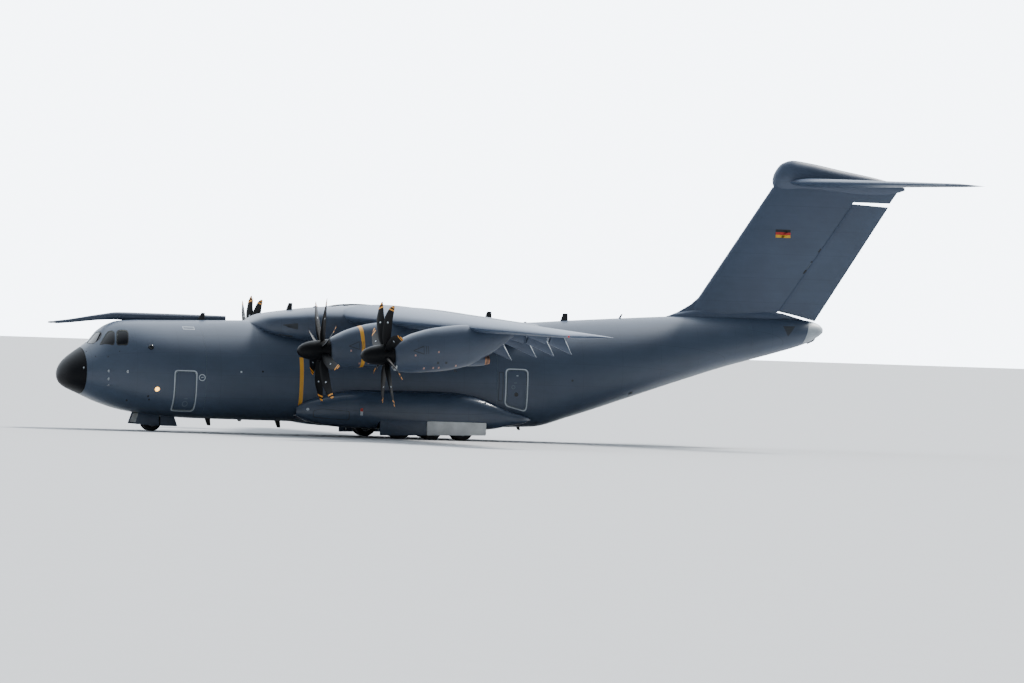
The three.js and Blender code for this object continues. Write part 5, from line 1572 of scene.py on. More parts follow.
@dataclass
class Nacelle:
    """One engine cowl: chin intake, exhaust and cooling inlets."""

    hub: Hub
    # x, half width, top, bottom
    table: Table = Table((
        (0.40, 0.54, 0.57, -0.78), (0.62, 0.61, 0.67, -0.86), (1.40, 0.72, 0.98, -0.94),
        (2.60, 0.80, 1.22, -0.92), (4.00, 0.78, 1.30, -0.74), (5.10, 0.56, 1.20, -0.28),
        (5.90, 0.34, 1.16, 0.22), (6.50, 0.14, 1.10, 0.62)))
    nozzle_z: float = -0.44
    stripe: Pair = (1.82, 2.00)     # a yellow band round the two inner cowls
    # x, how far inside the cowl's skin
    lip: tuple[Pair, ...] = (
        (0.385, 0.012), (0.365, 0.03), (0.375, 0.055), (0.45, 0.075), (0.70, 0.095), (1.0, 0.12))
    lip_end: float = 0.45           # the lip is painted up to here
    duct_end: float = 1.01          # the near-black painted shade of the duct starts behind it and reaches this far in
    chin: float = -0.55             # below this height the lip is pale
    fullness: float = 0.85          # of the section; 1 would be an ellipse

    def ring(self, x: float, inset: float = 0.0, station: float | None = None) -> list[Vector]:
        """The cowl's section.

        Args:
            x: where it lies along the thrust line.
            inset: how far inside the cowl's skin.
            station: where its shape is read, if not at x.

        Returns:
            The ring's points.
        """
        half, top, bottom = self.table.at(x if station is None else station)
        middle, tall = (top + bottom) / 2, (top - bottom) / 2 - inset
        return [self.hub.place(x, (half - inset) * power(math.sin(a), self.fullness),
                               middle + tall * power(math.cos(a), self.fullness)) for a in angles(48)]

    def build(self) -> None:
        """Build the cowl, its intake, nozzle and small parts."""
        hub = self.hub
        bm = bmesh.new()
        stations = sorted({*steps(6.5, 0.62, 30), *self.stripe, 0.52, 0.44}, reverse=True)
        rings = [self.ring(x) for x in stations]
        rings += [self.ring(x, inset, 0.4) for x, inset in self.lip]
        faces = loft(bm, rings)
        front = hub.along()
        middle = hub.place(0, 0, 0)
        above = hub.place(0, 0, 1) - middle
        for face in faces:
            place = face.calc_center_median()
            x = (place - middle).dot(front) / SCALE
            low = (place - middle).dot(above) / above.length_squared < self.chin
            # Faces inside the duct take the near-black painted shade
            if x < self.duct_end and face.normal.dot(place - hub.place(x, 0, -0.1)) < 0:
                face.material_index = 1
            if x < self.lip_end:
                face.material_index = 2 if low else 0
            elif "inner" in hub.name and self.stripe[0] < x < self.stripe[1]:
                face.material_index = 3
        piece(f"cowl_{hub.name}", bm, [COWL_PAINT, DUCT_SHADE_BLACK, GEAR_WHITE, STRIPE_PAINT], "airframe",
              [f"nacelle_{hub.name}"])
        bm = bmesh.new()
        turned(bm, ((0.36, 0.0), (0.36, 0.49), (0.42, 0.51), (0.62, 0.50), (1.02, 0.46),
                                                    (1.02, 0.0)), middle, front, 40)
        piece(f"gearbox_fairing_{hub.name}", bm, [COWL_PAINT], "airframe")
        shroud = ((3.3, 0.0), (3.3, 0.16), (3.7, 0.26), (4.2, 0.30), (4.7, 0.295), (4.95, 0.275),
                  (4.95, 0.255), (4.7, 0.26), (4.7, 0.0))
        nozzle = ((4.5, 0.0), (4.5, 0.25), (5.0, 0.245), (5.02, 0.26), (5.08, 0.26), (5.10, 0.24),
                  (5.2, 0.228), (5.2, 0.21), (4.9, 0.215), (4.6, 0.21), (4.6, 0.0))
        for name, profile, finish, slot in (("nozzle_shroud", shroud, COWL_PAINT, "composite_grey"),
                                            ("nozzle", nozzle, NOZZLE, "engine_steel")):
            bm = bmesh.new()
            turned(bm, profile, hub.place(0, 0, self.nozzle_z), front, 36)
            piece(f"{name}_{hub.name}", bm, [finish], "airframe")
        self.build_vents()

    def flank(self, x: float, z: float) -> float:
        """How far out the cowl's side lies at a height."""
        half, top, bottom = self.table.at(x)
        share = (2 * z - top - bottom) / (top - bottom)
        return half * math.sqrt(1 - min(1.0, abs(share)) ** (2 / self.fullness)) ** self.fullness

    def build_vents(self) -> None:
        """The arrow outline, cooling inlets, drain caps and drain pipes on the cowl."""
        hub = self.hub
        bm = bmesh.new()
        for side in (-1, 1):
            def line(start: Pair, end: Pair, wide: float, index: int) -> None:
                """A thin strip on the cowl's side from one place in side view to another."""
                def strip(t: float, across: float) -> Vector:
                    """A place in the strip."""
                    slope = math.atan2(end[1] - start[1], end[0] - start[0])
                    x = mix(start[0], end[0], t) - across * math.sin(slope)
                    z = mix(start[1], end[1], t) + across * math.cos(slope)
                    return hub.place(x, side * (self.flank(x, z) + 0.008), z)
                faces = bent_sheet(bm, strip, (0, 1), (-side * wide, side * wide), (4, 2), 0.012)
                paint_faces(faces, index)

            tip, top, foot = (1.20, 0.16), (1.72, 0.36), (1.72, -0.02)
            for start, end in ((tip, top), (tip, foot), (top, foot),
                               ((1.84, 0.36), (1.84, -0.02)), ((1.94, 0.36), (1.94, -0.02))):
                line(start, end, 0.012, 0)
            # The two wider dark strips stand in for the cooling inlets' openings: painted shade
            for x, z in ((2.37, -0.48), (2.79, -0.50)):
                line((x, z), (x + 0.10, z), 0.05, 0)
            for x, z in ((1.25, -0.07), (2.41, 0.05), (1.70, -0.72), (2.17, -0.72), (2.45, -0.72),
                         (3.33, -0.66)):
                line((x, z), (x + 0.08, z), 0.04, 1)
        for y in (-0.12, 0.12):
            rod(bm, hub.place(3.4, y, -0.78), hub.place(3.52, y, -0.97), 0.025, 0.025, 12)
        piece(f"cowl_fittings_{hub.name}", bm, [DARK_PAINT, CAP_PINK], "airframe")


@dataclass
class Propeller:
    """One eight-bladed propeller with a round-nosed spinner."""

    hub: Hub
    blades: int = 8
    # distance behind its tip, radius
    spinner: Table = Table((
        (0.0, 0.0), (0.04, 0.13), (0.10, 0.22), (0.32, 0.36), (0.73, 0.47), (1.60, 0.53)), warp=math.sqrt)
    nose: float = -1.28        # where the spinner's tip lies along the thrust line
    # radius, chord, thickness, pitch from the disc, sweep
    table: Table = Table((
        (0.40, 0.26, 0.130, 68, 0), (0.95, 0.44, 0.080, 54, -0.05), (1.75, 0.49, 0.050, 39, -0.03),
        (2.45, 0.33, 0.025, 29, 0.14), (2.665, 0.12, 0.014, 27, 0.27)))
    bands: tuple[Pair, ...] = ((2.38, 2.46), (2.55, 2.64))     # the yellow bands' radii
    dot: float = 1.70          # how far out the pale dot lies on each blade

    def blade_ring(self, radius: float) -> list[Vector]:
        """The blade's section at a radius, upright on the hub."""
        chord, thick, pitch, sweep = self.table.at(radius)
        s, c = math.sin(math.radians(pitch)), math.cos(math.radians(pitch))
        points = []
        for sign, shares in ((1, steps(1, 0, 9)), (-1, steps(0, 1, 9)[1:-1])):
            for share in shares:
                along = (share - 0.5) * chord + sweep
                across = sign * half_thickness(share) * thick
                beside = self.hub.hand * (along * c - across * s)
                points.append(Vector((along * s + across * c, beside, radius)))
        return points

    def build(self) -> None:
        """Build blades and spinner, on the propeller's own body."""
        hub = self.hub
        bm = bmesh.new()
        edges = sorted({*steps(0.42, 2.3, 10), 2.665, *(r for band in self.bands for r in band)})
        _, thick, pitch, sweep = self.table.at(self.dot)
        s, c = math.sin(math.radians(pitch)), math.cos(math.radians(pitch))
        dot = Vector((sweep * s, hub.hand * sweep * c, self.dot))
        across = Vector((c, -hub.hand * s, 0)) * (half_thickness(0.5) * thick + 0.004)
        for i in range(self.blades):
            spin = Matrix.Rotation(math.tau * (i + 0.5) / self.blades, 3, "X")
            rings = [[spin @ p for p in self.blade_ring(r)] for r in edges]
            faces = loft(bm, [[hub.place(*p) for p in ring] for ring in rings])
            middle = hub.place(0, 0, 0)
            out = hub.place(*(spin @ Vector((0, 0, 1)))) - middle
            for low, high in self.bands:
                paint_faces([f for f in faces
                             if low < (f.calc_center_median() - middle).dot(out) / SCALE**2 < high], 1)
            ends = (hub.place(*(spin @ (dot + across * sign))) for sign in (-1, 1))
            paint_faces(rod(bm, *ends, 0.045, sides=12), 2)
        profile = [(self.nose + x, self.spinner.at(x)[0]) for x in (1.6 * t * t for t in steps(0, 1, 22))]
        turned(bm, [*profile, (self.nose + 1.6, 0.0)], hub.place(0, 0, 0), hub.along(), 48)
        name = f"propeller_{hub.name}"
        piece(f"blades_{hub.name}", bm, [BLADE_COAT, TIP_PAINT, MARKS_AND_PAINTED_HIGHLIGHT], name,
              [name])


# Tail

@dataclass
class Tail:
    """Fin with its root fairing, rudder, bullet fairing, tailplane and elevators."""

    low: Triple = (6.9, 32.95, 39.6)       # z, leading edge, trailing edge
    high: Triple = (13.35, 37.2, 44.0)
    thick: Pair = (0.119, 0.104)
    rudder_z: Pair = (7.05, 12.62)
    rudder_chord: float = 1.95
    room: float = 0.09                                         # above and below the rudder
    slopes: tuple[float, float] = (-0.25, -0.05)               # of the rudder's ends, aft of its hinge
    fin_slant: float = 1.21                                    # level cuts are longer: the hinge leans
    tail_slant: float = 1.056
    gap: float = 0.014
    # x, half width, top, bottom
    bullet: Table = Table((
        (37.18, 0.05, 13.76, 13.54), (37.32, 0.26, 14.15, 13.25), (37.70, 0.40, 14.58, 13.10),
        (38.25, 0.46, 14.73, 13.05), (39.20, 0.46, 14.62, 13.02), (41.0, 0.40, 14.30, 13.0),
        (43.0, 0.26, 13.95, 13.10), (44.0, 0.12, 13.68, 13.28), (44.35, 0.04, 13.55, 13.40)),
        warp=lambda x: math.sqrt(x - 37.17))
    # x, top, half width
    dorsal: Table = Table((
        (31.65, 6.55, 0.04), (32.4, 6.80, 0.30), (33.4, 6.98, 0.42), (36.9, 7.02, 0.44), (37.6, 6.93, 0.34),
        (38.2, 6.74, 0.10)))
    plane_root: Foil = Foil(37.75, 13.62, 5.20, 0.09)
    plane_tip: Foil = Foil(43.25, 13.62, 1.95, 0.09)
    half_span: float = 9.515
    elevator_y: Pair = (0.75, 9.2)
    elevator_share: float = 0.70

    def fin_foil(self, z: float) -> Foil:
        """The fin's section at a height; its heights stand for distances across."""
        t = (z - self.low[0]) / (self.high[0] - self.low[0])
        le, te = (mix(self.low[i], self.high[i], t) for i in (1, 2))
        return Foil(le, 0, te - le, mix(*self.thick, t))

    def hinge_share(self, z: float) -> float:
        """Where the rudder's hinge lies on the chord."""
        return 1 - self.rudder_chord / self.fin_foil(z).chord

    def fin_ring(self, outline: Outline, z: float, slope: float = 0.0) -> list[Vector]:
        """A level outline, sloped aft of the rudder's hinge."""
        hinge = self.fin_foil(z).on_chord(self.hinge_share(z))[0]
        return [at(x, y, z + slope * max(0.0, x - hinge)) for x, y in outline]

    def build(self) -> None:
        """Build the fixed and the moving parts."""
        self.build_fin()
        self.build_rudder()
        self.build_bullet()
        self.build_tailplane()

    def beside_fin(self, x: float, z: float, side: Side) -> Vector:
        """A place just outside the fin's skin."""
        foil = self.fin_foil(z)
        return at(x, side.value * (foil.radius((x - foil.le) / foil.chord) + PROUD), z)

    def build_fin(self) -> None:
        """The fin, its dorsal and root fairings, and the colour patch on both sides."""
        z0, z1 = self.rudder_z
        bm = bmesh.new()
        loft(bm, [self.fin_ring(self.fin_foil(z).outline(), z, slope)
                  for z, slope in ((6.1, -0.02), (6.5, -0.12), (z0 - self.room, self.slopes[0]))])
        loft(bm, [self.fin_ring(cove(self.fin_foil(z), self.hinge_share(z), self.gap, self.fin_slant), z)
                  for z in steps(z0 - self.room, z1 + self.room, 12)])
        loft(bm, [self.fin_ring(self.fin_foil(z).outline(), z) for z in steps(z1 + self.room, 13.34, 3)])
        loft(bm, [slab_ring(x, 0, half, top, 6.05, 0.75, 32)
                  for x, (top, half) in ((x, self.dorsal.at(x)) for x in steps(31.65, 38.2, 48))])
        blend = ((31.7, 6.56, 0.03), (32.3, 6.80, 0.09), (33.0, 7.22, 0.14), (33.6, 7.76, 0.17),
                 (34.2, 8.30, 0.18))
        loft(bm, [slab_ring(x, 0, half, top, 6.2, 1.0, 24) for x, top, half in blend])
        piece("fin_skin", bm, [TAIL_PAINT], "airframe", ["fin"])
        bm = bmesh.new()
        for side in Side:
            for i, (low, high) in enumerate(((11.047, 11.18), (10.910, 11.045), (10.77, 10.908))):
                stripe = bent_sheet(bm, lambda x, z: self.beside_fin(x, z, side), (37.31, 38.11), (low, high),
                                    (6, 2), 0.006)
                paint_faces(stripe, i)
            for low, high, near, far, index in ((8.98, 9.17, 0.01, 0.09, 0), (10.10, 10.28, 0.01, 0.07, 0),
                                                (9.56, 9.62, 0.01, 0.09, 0), (9.20, 9.54, 0.02, 0.05, 3)):
                def by_hinge(back: float, z: float) -> Vector:
                    """A place just outside the fin's skin, ahead of the rudder's gap."""
                    x = self.fin_foil(z).on_chord(self.hinge_share(z))[0] - 0.09 - back
                    return self.beside_fin(x, z, side)
                paint_faces(bent_sheet(bm, by_hinge, (far, near), (low, high), (2, 4), 0.006), index)
        piece("fin_patches", bm, [PATCH_BLACK, PATCH_RED, PATCH_GOLD, FAINT_PAINT], "airframe")

    def build_rudder(self) -> None:
        """The rudder with a round nose on its leaning hinge, and static wicks."""
        z0, z1 = self.rudder_z
        bm = bmesh.new()
        loft(bm, [self.fin_ring(hinged(self.fin_foil(z), self.hinge_share(z), self.fin_slant), z,
                                mix(*self.slopes, (z - z0) / (z1 - z0))) for z in steps(z0, z1, 12)])
        for z in steps(8.6, 12.2, 4):
            x = self.fin_foil(z).on_chord(1.0)[0]
            wick(bm, at(x - 0.02, 0, z - 0.2), 0.2, 0.02)
        piece("rudder_skin", bm, [TAIL_PAINT], "rudder", ["rudder"])

    def build_bullet(self) -> None:
        """The bullet fairing where fin and tailplane meet."""
        bm = bmesh.new()
        places = [37.18 + 7.17 * t ** 1.7 for t in steps(0, 1, 44)]
        loft(bm, [slab_ring(x, 0, *self.bullet.at(x), 1.0, 40) for x in places])
        piece("bullet_skin", bm, [TAIL_PAINT], "airframe", ["fin_top_fairing"])

    def plane_foil(self, y: float) -> Foil:
        """The tailplane's section at a distance from the middle."""
        t = abs(y) / self.half_span
        return Foil(*(mix(getattr(self.plane_root, key), getattr(self.plane_tip, key), t)
                      for key in ("le", "z", "chord", "thick")))

    def build_tailplane(self) -> None:
        """The tailplane and its two elevators."""
        y0, y1 = self.elevator_y
        share, room = self.elevator_share, 0.05

        def ring(outline: Outline, y: float) -> list[Vector]:
            """An outline in x and z, set at a span place."""
            return [at(x, y, z) for x, z in outline]

        bm = bmesh.new()
        loft(bm, [ring(self.plane_foil(y).outline(), y) for y in (room - y0, 0, y0 - room)])
        for side in Side:
            sign = side.value
            loft(bm, [ring(cove(self.plane_foil(y), share, self.gap, self.tail_slant), sign * y)
                      for y in steps(y0 - room, y1 + room, 8)])
            end = self.plane_foil(self.half_span)
            rings = [ring(self.plane_foil(y1 + room).outline(), sign * (y1 + room))]
            for back, thin, y in ((0.02, 0.08, 9.38), (0.10, 0.06, 9.47), (0.35, 0.03, self.half_span)):
                shape = Foil(end.le + back, end.z, end.chord - back - 0.02, thin)
                rings.append(ring(shape.outline(), sign * y))
            loft(bm, rings)
            flap = bmesh.new()
            loft(flap, [ring(hinged(self.plane_foil(y), share, self.tail_slant), sign * y)
                        for y in steps(y0, y1, 8)])
            for y in steps(3.0, 8.8, 4):
                foil = self.plane_foil(y)
                wick(flap, at(foil.le + foil.chord - 0.02, sign * y, foil.z), 0.16, 0.0)
            name = f"elevator_{side.label}"
            piece(f"elevator_skin_{side.label}", flap, [TAIL_PAINT], name, [name])
        piece("tailplane_skin", bm, [TAIL_PAINT], "airframe", ["tailplane"])


# Sponsons, main gear and wheels

@dataclass
class Sponson:
    """The housing of one side's main gear, with its open bay and hanging doors."""

    side: Side
    # x, outer reach, top, bottom
    table: Table = Table((
        (11.6, 2.72, 1.45, 1.00), (12.0, 3.00, 1.72, 0.82), (12.6, 3.25, 1.95, 0.66),
        (13.8, 3.58, 2.27, 0.50), (14.8, 3.77, 2.38, 0.46), (19.2, 3.79, 2.42, 0.50),
        (20.5, 3.75, 2.30, 0.53), (21.7, 3.52, 1.96, 0.60),
        (22.8, 3.10, 1.52, 0.82), (23.5, 2.80, 1.34, 0.95), (23.9, 2.42, 1.20, 1.08)))
    middle: float = 2.40
    fullness: float = 0.62
    bay: tuple[float, float, float, float, float] = (15.62, 21.22, 2.60, 3.66, 1.92)    # x, x, y, y, roof
    door_y: float = 3.705
    door_split: float = 18.1

    def point(self, x: float, turn: float) -> Vector:
        """A place on the sponson; the angle runs from its top outwards."""
        outer, top, bottom = self.table.at(x)
        s = math.sin(turn)
        y = self.middle + (outer - self.middle if s >= 0 else 0.65) * power(s, self.fullness)
        z = (top + bottom) / 2 + (top - bottom) / 2 * power(math.cos(turn), self.fullness)
        return at(x, self.side.value * max(y, HULL.half_width(x, z) - 0.06), z)

    def turn_below(self, x: float, y: float) -> float:
        """The angle of a place in the underside's plan view."""
        share = (y - self.middle) / (self.table.at(x)[0] - self.middle)
        return math.pi - math.asin(min(1.0, max(0.0, share)) ** (1 / self.fullness))

    def turn_at_height(self, x: float, z: float) -> float:
        """The angle of a height on the outer flank."""
        _, top, bottom = self.table.at(x)
        share = (2 * z - top - bottom) / (top - bottom)
        return math.acos(power(max(-1.0, min(1.0, share)), 1 / self.fullness))

    def on_flank(self, outline: Outline) -> list[Pair]:
        """An outline in side view, as places on the flat skin."""
        return [(x, self.turn_at_height(x, z)) for x, z in finer(outline, SIDE_EDGE)]

    def bay_edge(self, x: float) -> float:
        """How far out the bay's opening reaches."""
        return min(self.bay[3], self.table.at(x)[0] - 0.12)

    def build(self) -> None:
        """Build skin, bay and doors."""
        self.build_skin()
        self.build_bay()
        self.build_door()

    def build_skin(self) -> None:
        """The outer skin with the bay's opening, a panel outline and small marks."""
        x0, x1, y0, _, _ = self.bay
        skin = Skin(11.6, 23.9, 0.0, 1.3 * math.pi, cell=0.2, around=110, form=self.point)
        far = [(x, self.turn_below(x, self.bay_edge(x))) for x in steps(x1, x0, 16)]
        skin.cut_out([(x0, self.turn_below(x0, y0)), (x1, self.turn_below(x1, y0)), *far])
        panel = rounded([(12.35, 0.95), (14.1, 0.85), (14.1, 1.32), (12.75, 1.40), (12.35, 1.30)], 0.12)
        skin.band(self.on_flank(panel), self.on_flank(inset_outline(panel, 0.03)), 2)
        for low, high, index in ((1.32, 1.48, 3), (1.12, 1.32, 4)):
            skin.mark(self.on_flank(box(14.62, 14.75, low, high)), index)
        for x, z, radius in ((15.9, 0.84, 0.035), (12.1, 1.34, 0.07)):
            skin.mark(self.on_flank(circle(x, z, radius)), 4)
        skin.bend()
        if self.side is Side.LEFT:
            bmesh.ops.reverse_faces(skin.bm, faces=skin.bm.faces)
        skin.thicken(0.04, 1)
        piece(f"sponson_skin_{self.side.label}", skin.bm,
              [SPONSON_PAINT, BAY_WHITE_AND_PAINTED_SUNLIGHT, SEAL, RED_PAINT, MARKS_AND_PAINTED_HIGHLIGHT], "airframe",
              [f"sponson_{self.side.label}"])

    def build_bay(self) -> None:
        """The bay's lining with ribs, open below."""
        x0, x1, y0, _, roof = self.bay
        sign = self.side.value
        bm = bmesh.new()

        def foot(x: float, y: float) -> float:
            """The lining's lower edge, a little above the skin."""
            return self.point(x, self.turn_below(x, y)).z / SCALE + 0.02

        def wall(y: Callable[[float], float]) -> Callable[[float, float], Vector]:
            """A wall along the aeroplane."""
            return lambda x, t: at(x, sign * y(x), mix(foot(x, y(x)), roof, t))

        def bulkhead(x: float) -> Callable[[float, float], Vector]:
            """A wall across the aeroplane."""
            edge = self.bay_edge(x)
            return lambda s, t: at(x, sign * mix(y0, edge, s), mix(foot(x, mix(y0, edge, s)), roof, t))

        bent_sheet(bm, wall(lambda x: y0), (x0, x1), (0, 1), (28, 3), 0.02 * -sign)
        bent_sheet(bm, wall(self.bay_edge), (x0, x1), (0, 1), (28, 3), 0.02 * sign)
        for x in (x0, x1):
            bent_sheet(bm, bulkhead(x), (0, 1), (0, 1), (8, 3), 0.02)
        bent_sheet(bm, lambda x, s: at(x, sign * mix(y0, self.bay_edge(x), s), roof), (x0, x1), (0, 1),
                   (28, 2), 0.02)
        for x in steps(x0 + 0.5, x1 - 0.5, 8):
            edge = self.bay_edge(x)
            plate(bm, [at(x, sign * (edge - 0.05), 1.0), at(x, sign * edge, 1.0), at(x, sign * edge, roof),
                       at(x, sign * (y0 + 0.1), roof), at(x, sign * (y0 + 0.1), roof - 0.05),
                       at(x, sign * (edge - 0.05), roof - 0.05)], Vector((size(0.03), 0, 0)))
        piece(f"main_gear_bay_{self.side.label}", bm, [BAY_WHITE_AND_PAINTED_SUNLIGHT], "airframe")

    def build_door(self) -> None:
        """Two hanging door panels with softened edges and inner ribs."""
        sign = self.side.value
        bm = bmesh.new()

        def low(x: float) -> float:
            """The height of the doors' lower edge."""
            return mix(0.16, 0.30, (x - 15.67) / 5.53)

        # The rear panel takes the white, which is painted sunlight on its outer face
        for x0, x1, index in ((15.67, self.door_split - 0.015, 0), (self.door_split + 0.015, 21.20, 1)):
            corners = rounded([(x0, low(x0)), (x1, low(x1)), (x1, 0.93), (x0, 0.93)], 0.06)
            faces = plate(bm, [at(x, sign * (self.door_y + 0.022), z) for x, z in corners],
                          Vector((0, -sign * size(0.03), 0)), 0.006)
            paint_faces(faces, index)
            for x in steps(x0 + 0.35, x1 - 0.35, 4):
                rib = plate(bm, [at(along, sign * (self.door_y - 0.006), z)
                                 for along, z in box(x, x + 0.05, low(x) + 0.08, 0.92)],
                            Vector((0, -sign * size(0.016), 0)))
                paint_faces(rib, 2)
        piece(f"main_door_{self.side.label}", bm, [FUSELAGE_PAINT, BAY_WHITE_AND_PAINTED_SUNLIGHT, BAY_WHITE_AND_PAINTED_SUNLIGHT], "airframe",
              [f"main_gear_door_{self.side.label}"])


@dataclass(frozen=True)
class WheelPair:
    """Two wheels on one axle."""

    name: str
    place: Triple
    radius: float = 0.545
    width: float = 0.38
    rim: float = 0.29
    offset: float = 0.29
    axle: float = 0.06
    grooves: int = 4

    def tyre(self) -> list[Pair]:
        """The tyre's closed profile: distance along the axle and radius."""
        half, tread = self.width / 2, self.radius
        wall = [(half * 0.80, self.rim), (half * 0.97, self.rim * 1.12), (half, mix(self.rim, tread, 0.45)),
                (half * 0.985, mix(self.rim, tread, 0.68)), (half * 0.90, mix(self.rim, tread, 0.88)),
                (half * 0.74, mix(self.rim, tread, 0.975))]
        crown = []
        for y in steps(half * 0.54, -half * 0.54, self.grooves - 1):
            crown += [(y + 0.012, tread), (y + 0.009, tread - 0.014),
                      (y - 0.009, tread - 0.014), (y - 0.012, tread)]
        return [*wall, *crown, *((-y, r) for y, r in reversed(wall)), wall[0]]

    def hub(self) -> list[Pair]:
        """The rim and hub's closed profile, from the outer face's middle to the inner one's."""
        shares = ((0.62, 0.0), (0.62, 0.20), (0.50, 0.26), (0.34, 0.36), (0.30, 0.72), (0.52, 0.84),
                  (0.84, 0.88), (0.90, 0.96), (0.88, 1.05), (0.78, 1.02), (-0.78, 1.02), (-0.88, 1.05),
                  (-0.90, 0.92), (-0.50, 0.86), (-0.45, 0.30), (-0.60, 0.0))
        return [(self.width / 2 * across, self.rim * out) for across, out in shares]

    def build(self) -> None:
        """Build tyres, rims, bolts and the axle between them."""
        tyres, rims = bmesh.new(), bmesh.new()
        middle = at(*self.place)
        for sign in (-1, 1):
            axis = Vector((0, sign, 0))
            centre = middle + axis * size(self.offset)
            turned(tyres, self.tyre(), centre, axis, 56)
            turned(rims, self.hub(), centre, axis, 40)
            for turn in angles(10):
                out = Vector((math.cos(turn), 0, math.sin(turn))) * size(self.rim * 0.54)
                start = centre + out + axis * size(self.width * 0.14)
                paint_faces(rod(rims, start, start + axis * size(0.035), 0.014, sides=6), 1)
            cap = ((0.60, 0.0), (0.60, 0.19), (0.82, 0.15), (0.86, 0.0))
            turned(rims, [(self.width / 2 * across, self.rim * out) for across, out in cap], centre, axis, 24)
        end = Vector((0, size(self.offset), 0))
        paint_faces(rod(rims, middle - end, middle + end, self.axle, sides=24), 1)
        piece(f"tyres_{self.name}", tyres, [TYRE], self.name, [self.name])
        piece(f"rims_{self.name}", rims, [RIM_PAINT, STEEL], self.name, smooth_below=40)


@dataclass
class MainGear:
    """One side's main gear: beam, struts, trailing arms, dampers and wheels."""

    side: Side
    middle_x: float = 18.42
    spacing: float = 1.61
    y: float = 3.13
    axle_z: float = 0.545

    def build(self) -> None:
        """Build the legs, then the wheels."""
        sign = self.side.value
        y = sign * self.y
        bm = bmesh.new()
        beam = box(16.07, 20.17, y - 0.09, y + 0.09)
        plate(bm, [at(x, across, 1.68) for x, across in beam], Vector((0, 0, size(0.225))), 0.015)
        for name, step in (("front", -1), ("middle", 0), ("rear", 1)):
            x = self.middle_x + step * self.spacing
            self.build_leg(bm, x, y)
            WheelPair(f"main_wheels_{self.side.label}_{name}", (x, y, self.axle_z)).build()
        piece(f"main_gear_legs_{self.side.label}", bm, [GEAR_WHITE, ROD_CHROME, STEEL, SEAL], "airframe",
              [f"main_gear_{self.side.label}"])

    def build_leg(self, bm: Mesh, x: float, y: float) -> None:
        """One leg: upper cylinder, pivot, trailing arm, damper and brake hoses."""
        pivot, axle = at(x - 0.46, y, 0.92), at(x, y, self.axle_z)
        top = at(x - 0.42, y, 1.72)
        across = Vector((0, size(0.09), 0))
        rod(bm, top, pivot.lerp(top, 0.35), 0.085, 0.08)
        paint_faces(rod(bm, pivot.lerp(top, 0.36), pivot, 0.055, 0.055), 1)
        rod(bm, pivot.lerp(top, 0.33), pivot.lerp(top, 0.38), 0.092, 0.092)
        rod(bm, pivot - across, pivot + across, 0.105)
        paint_faces(rod(bm, pivot - across * 1.15, pivot + across * 1.15, 0.045), 2)
        rod(bm, pivot, axle, 0.072, 0.078)
        rod(bm, axle - across * 0.92, axle + across * 0.92, 0.125, sides=28)
        foot, head = at(x - 0.03, y, 0.62), at(x - 0.1, y, 1.72)
        paint_faces(rod(bm, foot, foot.lerp(head, 0.45), 0.032), 1)
        rod(bm, foot.lerp(head, 0.42), head, 0.055, 0.062)
        rod(bm, foot.lerp(head, 0.40), foot.lerp(head, 0.45), 0.066)
        for sign in (-1, 1):
            side = Vector((0, size(0.07) * sign, 0))
            path = [foot.lerp(head, 0.62), at(x - 0.22, y, 1.05), at(x - 0.24, y, 0.85),
                    at(x - 0.1, y, 0.68)]
            for a, b in zip(path, path[1:]):
                paint_faces(rod(bm, a + side, b + side, 0.012, sides=8), 3)


# Nose gear

